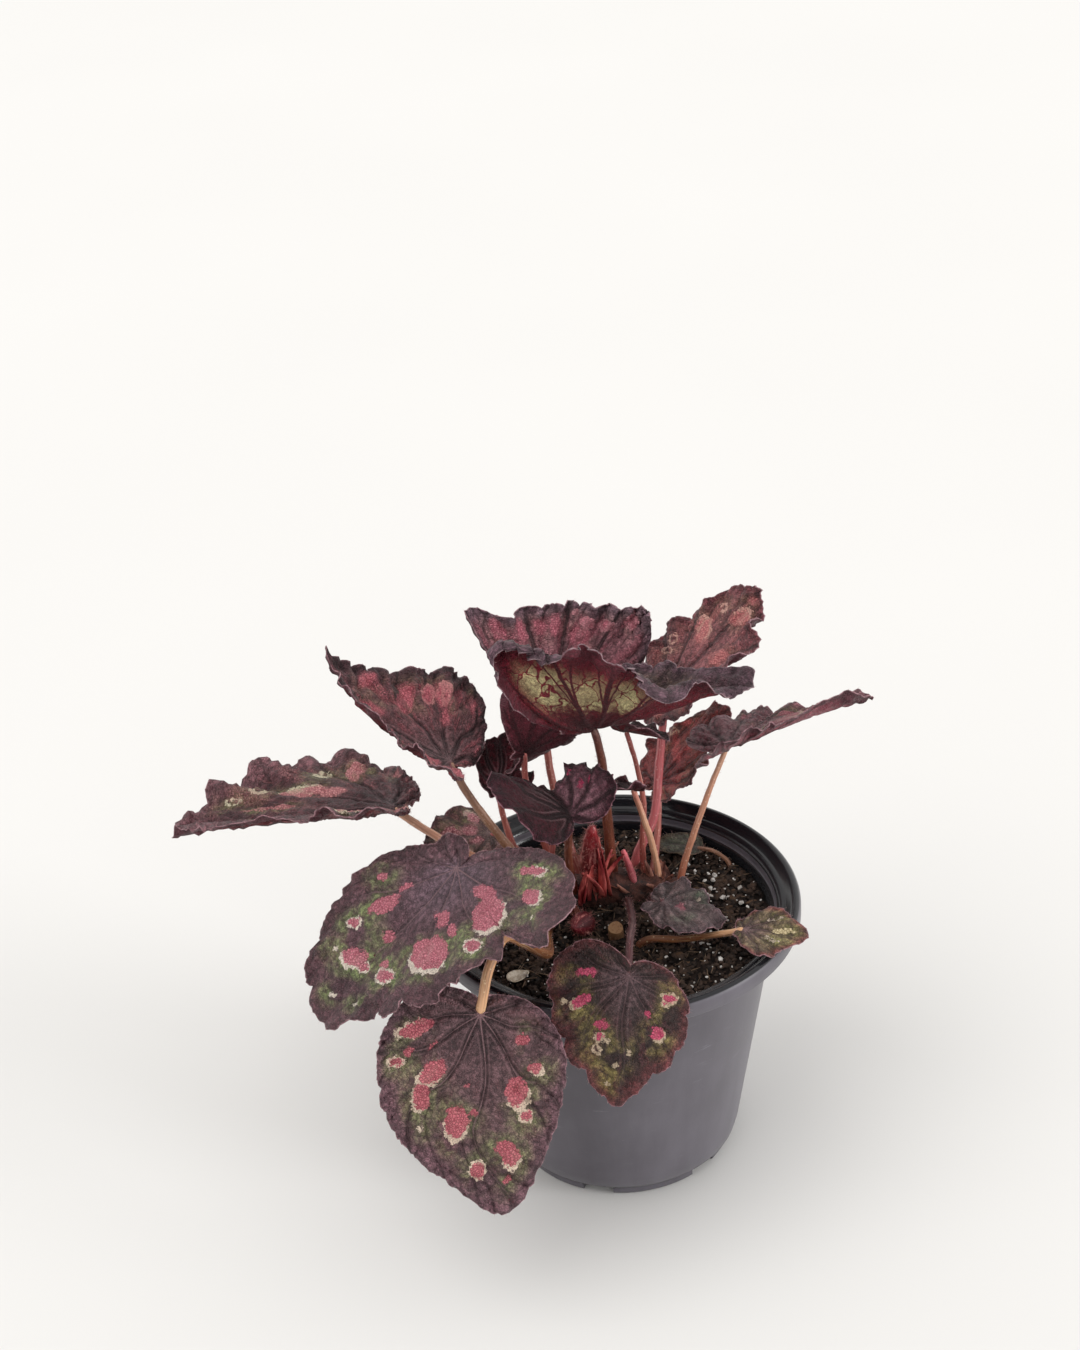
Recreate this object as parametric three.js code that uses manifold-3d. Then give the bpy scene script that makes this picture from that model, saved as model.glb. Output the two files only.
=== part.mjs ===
// A potted rex begonia: a round nursery pot filled with soil, a creeping rhizome lying on the soil,
// and twenty leaves on long stalks with waved, palm-veined blades.
// Millimetres, +Z up. The origin is the centre of the pot's base, on the surface it stands on.
import * as THREE from "three";
import { mergeVertices } from "three/addons/utils/BufferGeometryUtils.js";
import Module from "manifold-3d";

const wasm = await Module();
wasm.setup();

// Driving dimensions
const GAP = 0.3;
const CLEARANCE = 0.45;
const SEAT_GAP = 0.6;
const POT_HEIGHT = 98;
const RIM_RADIUS = 62.5;
const RIM_DEPTH = 6;
const NECK_RADIUS = 54.5;
const HEEL_RADIUS = 41.3;
const WALL = 1.3;
const FLOOR_UNDERSIDE = 2;
const FLOOR_THICKNESS = 1.6;
const FOOT_RADIUS = 38;
const FOOT_WIDTH = 3;
const FOOT_COUNT = 6;
const FOOT_SPAN = 44;
const PAD_RADIUS = 13;
const DRAIN_COUNT = 8;
const DRAIN_RADIUS = 3.5;
const DRAIN_CIRCLE = 24;
const SOIL_LEVEL = 88;
const SOIL_RELIEF = 1.3;
const BLADE_THICKNESS = 0.7;
const LATHE_SEGMENTS = 44;
const RAD = Math.PI / 180;

// Angles from the midrib, in degrees, at which a leaf row gives its outline radii
const OUTLINE_ANGLES = [0, 15, 35, 60, 90, 120, 150, 180];
const SINUS = 0.08;

// Leaves. base is where the stalk meets the blade, heading the plan direction of the midrib,
// pitch its rise and roll its lean, in degrees. left and right are outline radii as shares of length.
// fold lifts each half at the midrib and curl rolls it up towards its edge; arch bends the midrib down.
const LEAVES = [
  { name: "far_left", base: [-72, 15, 128], heading: 182, pitch: 0, roll: -3, length: 71,
    left: [0.9, 0.6, 0.5, 0.45, 0.25, 0.15], right: [0.95, 0.9, 0.75, 0.45, 0.25, 0.15],
    fold: [31, -8], curl: [11, -7], arch: 4, twist: 3, wave: 2.4, waves: 14, phase: 20,
    route: [[-24, 11, 86], [-32, 12, 98], [-45, 13, 107], [-60, 14, 118]], girth: [2.0, 1.4] },
  { name: "upper_left", base: [-52, 15, 145], heading: 177, pitch: 31, roll: -8, length: 57,
    left: [0.75, 0.55, 0.5, 0.45, 0.3, 0.2], right: [0.8, 0.65, 0.65, 0.65, 0.35, 0.2],
    fold: [21, 8], curl: [29, 4], arch: -35, twist: 8, wave: 1.8, waves: 14, phase: 90,
    route: [[-23, 18, 86], [-28, 17, 98], [-35, 15, 111], [-46, 15, 131]], girth: [2.0, 1.4] },
  { name: "top_back", base: [-16, 43, 148], heading: 160, pitch: 30, roll: -13, length: 46,
    left: [0.6, 0.45, 0.35, 0.3, 0.25, 0.2], right: [0.8, 0.8, 0.8, 0.85, 1.0, 0.4],
    fold: [21, 31], curl: [30, 17], arch: -41, twist: 3, wave: 2.2, waves: 14, phase: 0,
    route: [[-9, 19, 86], [-15, 27, 108], [-19, 36, 129], [-19, 40, 139]], girth: [1.9, 1.3] },
  { name: "top_centre", base: [-4, 0, 164], heading: -1, pitch: 12, roll: -14, length: 55,
    left: [0.75, 0.6, 0.5, 0.5, 0.4, 0.3], right: [0.85, 0.75, 0.7, 0.75, 1.0, 0.6],
    fold: [14, 31], curl: [38, 57], arch: -13, twist: 14, wave: 2.0, waves: 13, phase: 40,
    route: [[1, 15, 86], [0, 14, 107], [-1, 11, 131], [-2, 5, 150]], girth: [2.4, 1.4] },
  { name: "top_right", base: [22, 45, 150], heading: 16, pitch: 36, roll: 12, length: 47,
    left: [0.9, 0.65, 0.55, 0.4, 0.45, 0.35], right: [0.9, 0.95, 0.9, 0.7, 0.4, 0.3],
    fold: [-1, 17], curl: [-8, 25], arch: -14, twist: 3, wave: 2.4, waves: 14, phase: 60,
    route: [[6, 22, 86], [10, 26, 97], [16, 32, 107], [19, 40, 125]], girth: [2.3, 1.8] },
  { name: "far_right", base: [41, 25, 139], heading: 9, pitch: 15, roll: -11, length: 51,
    left: [0.8, 0.6, 0.55, 0.45, 0.4, 0.25], right: [0.85, 0.45, 0.45, 0.45, 0.4, 0.25],
    fold: [0, 14], curl: [1, 35], arch: 2, twist: -19, wave: 2.0, waves: 14, phase: 0,
    route: [[22, 14, 85], [25, 16, 98], [29, 18, 110], [35, 22, 125]], girth: [1.8, 1.3] },
  { name: "back_right", base: [19, 50, 109], heading: 26, pitch: 39, roll: 10, length: 36,
    left: [0.95, 0.7, 0.65, 0.45, 0.25, 0.15], right: [0.85, 0.6, 0.65, 0.4, 0.3, 0.2],
    fold: [-20, 13], curl: [2, 40], arch: 5, twist: 2, wave: 1.6, waves: 12, phase: 30,
    route: [[14, 20, 86], [16, 29, 94], [18, 40, 101]], girth: [1.6, 1.2] },
  { name: "under_left", base: [-27, 15, 147], heading: 24, pitch: 35, roll: -72, length: 26,
    left: [0.85, 0.85, 0.95, 0.9, 0.7, 0.2], right: [0.85, 0.7, 0.9, 0.35, 0.15, 0.2],
    fold: [7, 21], curl: [28, 38], arch: 1, twist: -30, wave: 1.2, waves: 12, phase: 0,
    route: [[-16, 21, 86], [-23, 21, 110], [-27, 19, 133]], girth: [1.6, 1.1] },
  { name: "crimson_left", base: [-37, 29, 124], heading: 76, pitch: 39, roll: 11, length: 21,
    left: [0.85, 0.75, 0.7, 0.4, 0.2, 0.2], right: [0.95, 0.55, 0.65, 0.6, 0.45, 0.25],
    fold: [36, 0], curl: [31, 25], arch: 14, twist: -9, wave: 1.0, waves: 11, phase: 0,
    route: [[-26, 22, 86], [-31, 24, 98], [-35, 27, 111]], girth: [1.5, 1.1] },
  { name: "dark_centre", base: [-13, -10, 138], heading: 112, pitch: 16, roll: 0, length: 30,
    left: [0.8, 0.75, 0.9, 1.05, 0.7, 0.3], right: [0.85, 0.75, 0.65, 0.6, 0.4, 0.2],
    fold: [32, 32], curl: [5, 5], arch: 60, twist: 0, wave: 1.6, waves: 11, phase: 70,
    route: [[-11.5, 11, 86], [-14, 7, 105], [-14, -2, 123]], girth: [1.7, 1.3] },
  { name: "front_left", base: [-50, -25, 130], heading: 210, pitch: -35, roll: -10, length: 66,
    left: [0.85, 0.8, 0.8, 0.95, 0.7, 0.25], right: [0.95, 0.75, 0.45, 0.2, 0.2, 0.15],
    fold: [13, 11], curl: [9, -12], arch: 6, twist: 13, wave: 1.6, waves: 12, phase: 0,
    route: [[-12, 4.5, 87], [-19, -3, 103], [-32, -13, 119], [-43, -21, 127]], girth: [2.2, 1.6] },
  { name: "front_low", base: [-45, -65, 103], heading: 276, pitch: -61, roll: -3, length: 65,
    left: [0.8, 0.6, 0.45, 0.28, 0.15, 0.1], right: [0.85, 0.75, 0.6, 0.45, 0.3, 0.15],
    fold: [1, -3], curl: [-9, -8], arch: 12, twist: 8, wave: 0.8, waves: 13, phase: 0,
    route: [[-21, 4, 86], [-23, -10, 91], [-23, -27, 96], [-31, -41, 112], [-36, -49, 120], [-41, -58, 116]],
    girth: [2.1, 1.8] },
  { name: "front_small", base: [2, -58, 109], heading: 252, pitch: -51, roll: -2, length: 41,
    left: [0.85, 0.75, 0.6, 0.4, 0.25, 0.15], right: [0.85, 0.75, 0.65, 0.6, 0.45, 0.2],
    fold: [-15, 4], curl: [-25, -5], arch: 22, twist: -3, wave: 0.8, waves: 12, phase: 45,
    route: [[5, 9, 86], [5, 2, 94], [5, -22, 103], [3, -45, 111]], girth: [1.6, 1.3] },
  { name: "soil_right", base: [16, -11, 102], heading: 336, pitch: 1, roll: -1, length: 22,
    left: [0.8, 0.7, 0.65, 0.6, 0.45, 0.3], right: [0.9, 0.8, 0.6, 0.45, 0.3, 0.35],
    fold: [1, -6], curl: [4, 1], arch: 16, twist: 0, wave: 0.8, waves: 10, phase: 0,
    route: [[12, 7, 86], [13, 2, 95], [15, -6, 100]], girth: [1.3, 1.0] },
  { name: "rim_right", base: [41, -27, 101], heading: 353, pitch: 1, roll: -1, length: 21,
    left: [0.85, 0.75, 0.55, 0.3, 0.25, 0.15], right: [0.85, 0.7, 0.7, 0.45, 0.2, 0.2],
    fold: [10, 1], curl: [-5, -3], arch: 12, twist: 15, wave: 0.6, waves: 10, phase: 0,
    route: [[5, -14, 85], [10, -15, 90], [21, -18, 92], [32, -22, 96]], girth: [1.5, 1.2] },
  { name: "back_left", base: [-41, 33, 103], heading: 185, pitch: 3, roll: -1, length: 23,
    left: [0.9, 0.75, 0.65, 0.6, 0.5, 0.25], right: [0.9, 0.85, 0.7, 0.45, 0.2, 0.2],
    fold: [-4, 7], curl: [-5, 8], arch: 8, twist: -6, wave: 1.0, waves: 11, phase: 0,
    route: [[-24, 27, 86], [-28, 29, 94], [-34, 31, 100]], girth: [1.4, 1.1] },
  { name: "old_leaf", base: [31, 35, 91], heading: 166, pitch: 6, roll: -2, length: 15,
    left: [0.9, 0.65, 0.5, 0.3, 0.2, 0.15], right: [0.85, 0.6, 0.45, 0.35, 0.2, 0.15],
    fold: [11, 12], curl: [-7, 13], arch: 8, twist: -5, wave: 0.8, waves: 9, phase: 0,
    route: [[42, 23, 86], [41, 27, 90], [36, 32, 91.5]], girth: [0.9, 0.8] },
  { name: "hidden_small", base: [7, 20, 150], heading: -28, pitch: 8, roll: -30, length: 16,
    left: [0.85, 0.7, 0.6, 0.5, 0.4, 0.25], right: [0.85, 0.7, 0.6, 0.5, 0.4, 0.25],
    fold: [15, 15], curl: [15, 15], arch: 10, twist: 0, wave: 0.8, waves: 9, phase: 0,
    route: [[13, 15, 86], [11, 16, 103], [12, 19, 122], [10, 20, 137]], girth: [1.4, 1.0] },
  { name: "crumpled", base: [8, 3, 138], heading: 210, pitch: 30, roll: 10, length: 8,
    left: [0.9, 0.8, 0.8, 0.7, 0.5, 0.3], right: [0.9, 0.8, 0.8, 0.7, 0.5, 0.3],
    fold: [18, 16], curl: [30, 20], arch: 20, twist: 10, wave: 0.7, waves: 8, phase: 0,
    route: [[17, 13, 86], [16, 14, 96], [14, 12, 110], [12, 9, 120], [10, 6, 129]], girth: [1.6, 1.2] },
  { name: "young_leaf", base: [-19, 5, 118], heading: 150, pitch: 35, roll: -10, length: 9,
    left: [0.9, 0.8, 0.75, 0.65, 0.5, 0.3], right: [0.9, 0.8, 0.75, 0.65, 0.5, 0.3],
    fold: [45, 35], curl: [40, 45], arch: -10, twist: 10, wave: 0.8, waves: 8, phase: 0,
    route: [[-16.5, 8.5, 87], [-19, 8, 98], [-20, 7, 108]], girth: [1.5, 1.1] },
];
const LARGE_LEAF = 40;
const LARGE_GRID = { steps: 56, rings: 3 };
const SMALL_GRID = { steps: 32, rings: 2 };

// Rhizome: points of its axis and its radius at each
const RHIZOME_AXIS = [[-29, 17, 87], [-20, 14, 90], [-6, 13, 91.5], [9, 14, 91], [20, 14, 89.5], [27, 15, 87]];
const RHIZOME_GIRTH = [3, 5, 6.5, 6.5, 5, 3];

// Rolled young leaves at the crown, a cut stem end and a dried scale on the soil
const BUDS = [
  { name: "bud_upright", route: [[-6.5, 10, 94], [-7, 9, 105], [-6, 7, 122]], girths: [2.6, 4.2, 1.2] },
  { name: "bud_low", route: [[-9, -3, 89], [-11, -8, 93], [-14, -13, 95]], girths: [1.8, 4.2, 1.2] },
  { name: "bud_thin", route: [[9, 10, 88], [7, 11, 98], [4, 9, 110]], girths: [1.6, 1.3, 0.9] },
];
const STUB = { at: [0, -10, 88.5], top: 2.6, foot: 3.2, length: 9, lean: 12 };
const BRACT = { at: [-33, -30, 90.4], radii: [4, 2.2, 1.2], heading: 25 };
const STEM_SIDES = 7;

// Colours
const COLOURS = {
  pot: 0x232326,
  soil: 0x1d1713,
  rhizome: 0x5a3a2a,
  blade: 0x4a2b33,
  stalk: 0xb5764f,
  bud: 0xa32a3c,
  stub: 0xa08560,
  bract: 0xcdbfa9,
};

const group = new THREE.Group();

// A mesh's geometry as a solid, and back
function toSolid(geometry) {
  const bare = geometry.clone();
  for (const key of Object.keys(bare.attributes)) {
    if (key !== "position") bare.deleteAttribute(key);
  }
  const merged = mergeVertices(bare, 1e-4);
  return new wasm.Manifold(new wasm.Mesh({
    numProp: 3,
    vertProperties: new Float32Array(merged.attributes.position.array),
    triVerts: new Uint32Array(merged.index.array),
  }));
}

function toGeometry(solid) {
  const mesh = solid.getMesh();
  const geometry = new THREE.BufferGeometry();
  geometry.setAttribute("position", new THREE.BufferAttribute(new Float32Array(mesh.vertProperties), 3));
  geometry.setIndex(new THREE.BufferAttribute(new Uint32Array(mesh.triVerts), 1));
  return geometry;
}

// The largest separate body of a solid that a cut may have parted
function largestBody(solid) {
  const bodies = solid.decompose();
  return bodies.reduce((best, body) => (body.volume() > best.volume() ? body : best));
}

function addPiece(name, solid, colour, roughness) {
  const material = new THREE.MeshStandardMaterial({ color: colour, roughness, metalness: 0 });
  const mesh = new THREE.Mesh(toGeometry(solid), material);
  mesh.name = name;
  group.add(mesh);
}

// Smooth curve through samples (a cubic with slopes taken from each sample's neighbours)
function smoothThrough(xs, ys, x) {
  let i = 0;
  while (i < xs.length - 2 && x > xs[i + 1]) i += 1;
  const slope = (k) => {
    const before = Math.max(k - 1, 0);
    const after = Math.min(k + 1, xs.length - 1);
    return (ys[after] - ys[before]) / (xs[after] - xs[before]);
  };
  const span = xs[i + 1] - xs[i];
  const t = (x - xs[i]) / span;
  const rise = t * t * (3 - 2 * t);
  const lean = t * (1 - t) * (1 - t) * slope(i) - t * t * (1 - t) * slope(i + 1);
  return ys[i] + (ys[i + 1] - ys[i]) * rise + span * lean;
}

// Leaf blade
function outlineRadius(leaf, angle) {
  const radii = [1, ...(angle >= 0 ? leaf.left : leaf.right), SINUS];
  return leaf.length * smoothThrough(OUTLINE_ANGLES, radii, Math.abs(angle));
}

function turn(a, b, angle) {
  const c = Math.cos(angle);
  const s = Math.sin(angle);
  return [a * c - b * s, a * s + b * c];
}

// A point of the blade's middle surface: angle from the midrib in degrees, share of the way to the edge
function bladePoint(leaf, angle, share, margin) {
  const radius = (outlineRadius(leaf, angle) + margin) * share;
  const along = radius * Math.cos(angle * RAD);
  const across = radius * Math.sin(angle * RAD);
  const side = across >= 0 ? 0 : 1;
  const reach = Math.abs(across);
  const calm = Math.min(1, (180 - Math.abs(angle)) / 40) * Math.min(1, radius / (0.55 * leaf.length));
  const ripple = leaf.wave * share ** 2 * calm * Math.sin((angle * leaf.waves + leaf.phase) * RAD);

  const bend = leaf.curl[side] * RAD / (0.6 * leaf.length);
  let y = Math.sin(bend * reach) / bend - ripple * Math.sin(bend * reach);
  let z = (1 - Math.cos(bend * reach)) / bend + ripple * Math.cos(bend * reach);
  const lift = leaf.fold[side] * RAD * Math.min(1, reach / (0.08 * leaf.length));
  [y, z] = turn(y, z, lift);
  if (side === 1) y = -y;

  const arch = leaf.arch * RAD / leaf.length;
  let x = (1 / arch + z) * Math.sin(arch * along);
  z = (1 / arch + z) * Math.cos(arch * along) - 1 / arch;
  [y, z] = turn(y, z, leaf.twist * RAD * along / leaf.length);

  [y, z] = turn(y, z, leaf.roll * RAD);
  [x, z] = turn(x, z, leaf.pitch * RAD);
  [x, y] = turn(x, y, leaf.heading * RAD);
  return new THREE.Vector3(x + leaf.base[0], y + leaf.base[1], z + leaf.base[2]);
}

// Triangles of a round sheet: a fan, one ring that doubles the steps, then plain rings
function sheetTriangles(steps, rings) {
  const inner = steps / 2;
  const near = (step) => 1 + (step % inner);
  const at = (ring, step) => 1 + inner + (ring - 2) * steps + (step % steps);
  const triangles = [];
  for (let step = 0; step < inner; step += 1) {
    const a = near(step);
    const b = near(step + 1);
    const outer = [at(2, 2 * step), at(2, 2 * step + 1), at(2, 2 * step + 2)];
    triangles.push([0, a, b], [a, outer[0], outer[1]], [a, outer[1], b], [b, outer[1], outer[2]]);
  }
  for (let ring = 2; ring < rings; ring += 1) {
    for (let step = 0; step < steps; step += 1) {
      triangles.push([at(ring, step), at(ring + 1, step), at(ring + 1, step + 1)]);
      triangles.push([at(ring, step), at(ring + 1, step + 1), at(ring, step + 1)]);
    }
  }
  const rim = Array.from({ length: steps }, (_, step) => at(rings, step));
  return { triangles, rim };
}

// The blade as a closed sheet: both faces triangulated alike, joined by a rim strip
function bladeSolid(leaf, thickness, margin = 0) {
  const { steps, rings } = leaf.length >= LARGE_LEAF ? LARGE_GRID : SMALL_GRID;
  const middle = [bladePoint(leaf, 0, 0, margin)];
  for (let ring = 1; ring <= rings; ring += 1) {
    const count = ring === 1 ? steps / 2 : steps;
    for (let step = 0; step < count; step += 1) {
      middle.push(bladePoint(leaf, -180 + 360 * step / count, ring / rings, margin));
    }
  }
  const { triangles, rim } = sheetTriangles(steps, rings);
  const sheet = new THREE.BufferGeometry().setFromPoints(middle);
  sheet.setIndex(triangles.flat());
  sheet.computeVertexNormals();
  const normal = new THREE.Vector3();
  const shifted = (sign) => middle.map((point, i) => {
    normal.fromBufferAttribute(sheet.attributes.normal, i);
    return point.clone().addScaledVector(normal, sign * thickness / 2);
  });
  const count = middle.length;
  const index = [...triangles, ...triangles.map(([a, b, c]) => [a + count, c + count, b + count])];
  for (let i = 0; i < rim.length; i += 1) {
    const a = rim[i];
    const b = rim[(i + 1) % rim.length];
    index.push([a, a + count, b + count], [a, b + count, b]);
  }
  const closed = new THREE.BufferGeometry().setFromPoints([...shifted(1), ...shifted(-1)]);
  closed.setIndex(index.flat());
  return toSolid(closed);
}

// A round stem: a cylinder bent along a smooth route, with a radius given along it
function stemSolid(route, girths, sides, steps) {
  const path = new THREE.CatmullRomCurve3(route.map((point) => new THREE.Vector3(...point)));
  const frames = path.computeFrenetFrames(steps);
  const stations = girths.map((_, i) => i / (girths.length - 1));
  const geometry = new THREE.CylinderGeometry(1, 1, 1, sides, steps);
  const positions = geometry.attributes.position;
  for (let i = 0; i < positions.count; i += 1) {
    const share = positions.getY(i) + 0.5;
    const step = Math.round(share * steps);
    const radius = smoothThrough(stations, girths, share);
    const point = path.getPointAt(share);
    point.addScaledVector(frames.normals[step], positions.getX(i) * radius);
    point.addScaledVector(frames.binormals[step], -positions.getZ(i) * radius);
    positions.setXYZ(i, point.x, point.y, point.z);
  }
  return toSolid(geometry);
}

// The room a stem needs in what it stands in: wider all round and longer at both ends
function stemClearance(route, girths, sides, steps) {
  const beyond = (end, before) => {
    const away = new THREE.Vector3(...end).sub(new THREE.Vector3(...before)).setLength(CLEARANCE);
    return away.add(new THREE.Vector3(...end)).toArray();
  };
  const longer = [beyond(route[0], route[1]), ...route.slice(1, -1), beyond(route.at(-1), route.at(-2))];
  return stemSolid(longer, girths.map((radius) => radius + CLEARANCE), sides, steps);
}

// Pot
function potProfile() {
  const lipTop = POT_HEIGHT;
  const lipFoot = POT_HEIGHT - RIM_DEPTH;
  const floorTop = FLOOR_UNDERSIDE + FLOOR_THICKNESS;
  const outside = [
    [0, FLOOR_UNDERSIDE], [HEEL_RADIUS - 6, FLOOR_UNDERSIDE], [HEEL_RADIUS - 3, FLOOR_UNDERSIDE + 1],
    [HEEL_RADIUS - 1, FLOOR_UNDERSIDE + 3.2], [HEEL_RADIUS, FLOOR_UNDERSIDE + 7],
    [NECK_RADIUS, lipFoot + 1.5],
    [NECK_RADIUS + 1.6, lipFoot + 3.4], [RIM_RADIUS - 1.6, lipFoot + 3], [RIM_RADIUS - 1.2, lipFoot],
    [RIM_RADIUS, lipFoot], [RIM_RADIUS, lipTop - 1.6], [RIM_RADIUS - 0.7, lipTop - 0.4],
  ];
  const inside = [
    [RIM_RADIUS - 1.8, lipTop], [RIM_RADIUS - 3.2, lipTop - 1], [NECK_RADIUS + 1.6, lipTop - 4.5],
    [NECK_RADIUS - WALL, lipFoot - 1.5], [HEEL_RADIUS - WALL, FLOOR_UNDERSIDE + 6],
    [HEEL_RADIUS - 4, floorTop], [0, floorTop],
  ];
  return [...outside, ...inside].map(([r, z]) => new THREE.Vector2(r, z));
}

// Inner radius of the pot at a height below the flare
function potInside(z) {
  const low = FLOOR_UNDERSIDE + 6;
  const high = POT_HEIGHT - RIM_DEPTH - 1.5;
  return HEEL_RADIUS - WALL + (NECK_RADIUS - HEEL_RADIUS) * (z - low) / (high - low);
}

function upright(geometry) {
  return toSolid(geometry.rotateX(Math.PI / 2));
}

function buildPot() {
  let pot = upright(new THREE.LatheGeometry(potProfile(), LATHE_SEGMENTS));
  for (let i = 0; i < FOOT_COUNT; i += 1) {
    const start = (i * 360 / FOOT_COUNT - FOOT_SPAN / 2) * RAD;
    const end = start + FOOT_SPAN * RAD;
    const shape = new THREE.Shape();
    shape.absarc(0, 0, FOOT_RADIUS, start, end, false);
    shape.absarc(0, 0, FOOT_RADIUS - FOOT_WIDTH, end, start, true);
    const foot = new THREE.ExtrudeGeometry(shape, {
      depth: FLOOR_UNDERSIDE + FLOOR_THICKNESS / 2, bevelEnabled: false, curveSegments: 5,
    });
    pot = pot.add(toSolid(foot));
  }
  const padHeight = FLOOR_UNDERSIDE + FLOOR_THICKNESS / 2;
  const pad = new THREE.CylinderGeometry(PAD_RADIUS, PAD_RADIUS, padHeight, 24);
  pot = pot.add(upright(pad.translate(0, padHeight / 2, 0)));
  for (let i = 0; i < DRAIN_COUNT; i += 1) {
    const angle = i * 2 * Math.PI / DRAIN_COUNT;
    const drain = new THREE.CylinderGeometry(DRAIN_RADIUS, DRAIN_RADIUS, 8, 10);
    drain.translate(DRAIN_CIRCLE * Math.cos(angle), FLOOR_UNDERSIDE, DRAIN_CIRCLE * Math.sin(angle));
    pot = pot.subtract(upright(drain));
  }
  return pot;
}

// Soil: a filled cone frustum with a gently uneven top
function soilHeight(x, y) {
  const swell = Math.sin(x * 0.11 + 1.2) * Math.cos(y * 0.13) + 0.5 * Math.sin(x * 0.31 + y * 0.27);
  return SOIL_LEVEL + SOIL_RELIEF * 0.6 * swell;
}

function buildSoil() {
  const floor = FLOOR_UNDERSIDE + FLOOR_THICKNESS + GAP;
  const heel = FLOOR_UNDERSIDE + 6;
  const profile = [[0, floor], [HEEL_RADIUS - 4.6, floor], [potInside(heel) - GAP - 0.2, heel + 0.6]];
  const edge = potInside(SOIL_LEVEL) - GAP - 0.2;
  const rings = 5;
  for (let i = 0; i <= rings; i += 1) profile.push([edge * (1 - i / rings), SOIL_LEVEL]);
  const geometry = new THREE.LatheGeometry(profile.map(([r, z]) => new THREE.Vector2(r, z)), LATHE_SEGMENTS);
  geometry.rotateX(Math.PI / 2);
  const positions = geometry.attributes.position;
  for (let i = 0; i < positions.count; i += 1) {
    const x = positions.getX(i);
    const y = positions.getY(i);
    if (positions.getZ(i) < SOIL_LEVEL - 1 || Math.hypot(x, y) > edge - 1) continue;
    positions.setZ(i, soilHeight(x, y));
  }
  return toSolid(geometry);
}

function buildStub(margin) {
  const length = STUB.length + 2 * margin;
  const body = new THREE.CylinderGeometry(STUB.top + margin, STUB.foot + margin, length, 12, 1);
  body.rotateX(Math.PI / 2 + STUB.lean * RAD);
  return toSolid(body.translate(...STUB.at));
}

function buildBract() {
  const body = new THREE.SphereGeometry(1, 12, 8);
  body.scale(...BRACT.radii);
  body.rotateZ(BRACT.heading * RAD);
  return toSolid(body.translate(...BRACT.at));
}

// The plant is built from the leaves down: each piece is cut clear of those already placed
const stalks = [];
const clearances = [];
for (const leaf of LEAVES) {
  addPiece(`${leaf.name}_blade`, bladeSolid(leaf, BLADE_THICKNESS), COLOURS.blade, 0.55);
  const route = [...leaf.route, leaf.base];
  const steps = 2 * (route.length - 1);
  const cutter = bladeSolid(leaf, BLADE_THICKNESS + 2 * SEAT_GAP, SEAT_GAP);
  const stalk = largestBody(stemSolid(route, leaf.girth, STEM_SIDES, steps).subtract(cutter));
  stalks.push([`${leaf.name}_stalk`, stalk]);
  clearances.push(stemClearance(route, leaf.girth, STEM_SIDES, steps));
}
for (const [name, stalk] of stalks) addPiece(name, stalk, COLOURS.stalk, 0.5);

const buds = BUDS.map(({ name, route, girths }) => [name, stemSolid(route, girths, 10, 8)]);
for (const { route, girths } of BUDS) {
  clearances.push(stemClearance(route, girths, 10, 8));
}
for (const [name, bud] of buds) addPiece(name, bud, COLOURS.bud, 0.6);

let rhizome = stemSolid(RHIZOME_AXIS, RHIZOME_GIRTH, 12, 10);
for (const clearance of clearances) rhizome = rhizome.subtract(clearance);
addPiece("rhizome", largestBody(rhizome), COLOURS.rhizome, 0.85);
clearances.push(stemClearance(RHIZOME_AXIS, RHIZOME_GIRTH, 12, 10));

addPiece("cut_stub", buildStub(0), COLOURS.stub, 0.8);
clearances.push(buildStub(CLEARANCE));
addPiece("dried_bract", buildBract(), COLOURS.bract, 0.9);

let soil = buildSoil();
for (const clearance of clearances) soil = soil.subtract(clearance);
addPiece("soil", largestBody(soil), COLOURS.soil, 0.95);
addPiece("pot", buildPot(), COLOURS.pot, 0.45);

export default group;
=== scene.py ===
"""A potted rex begonia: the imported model's blades, stalks, soil and pot, dressed with fine leaf relief,
veins, pink blotches, hairs, loose potting mix and a formed black nursery pot."""

import math
import random

import bmesh
import bpy
import numpy as np
from mathutils import Matrix, Vector


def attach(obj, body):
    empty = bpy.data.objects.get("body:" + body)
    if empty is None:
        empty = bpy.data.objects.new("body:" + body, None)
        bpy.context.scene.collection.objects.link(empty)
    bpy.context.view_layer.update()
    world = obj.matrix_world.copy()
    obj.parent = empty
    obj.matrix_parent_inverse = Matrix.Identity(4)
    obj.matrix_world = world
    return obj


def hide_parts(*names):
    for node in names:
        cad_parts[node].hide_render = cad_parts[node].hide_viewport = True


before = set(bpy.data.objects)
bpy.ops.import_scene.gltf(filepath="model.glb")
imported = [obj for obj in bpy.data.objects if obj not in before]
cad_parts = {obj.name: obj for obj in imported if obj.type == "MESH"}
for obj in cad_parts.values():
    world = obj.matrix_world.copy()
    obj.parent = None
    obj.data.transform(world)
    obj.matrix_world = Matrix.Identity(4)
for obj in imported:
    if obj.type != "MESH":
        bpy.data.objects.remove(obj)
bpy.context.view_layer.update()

MM = 0.001
RAD = math.pi / 180

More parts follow.
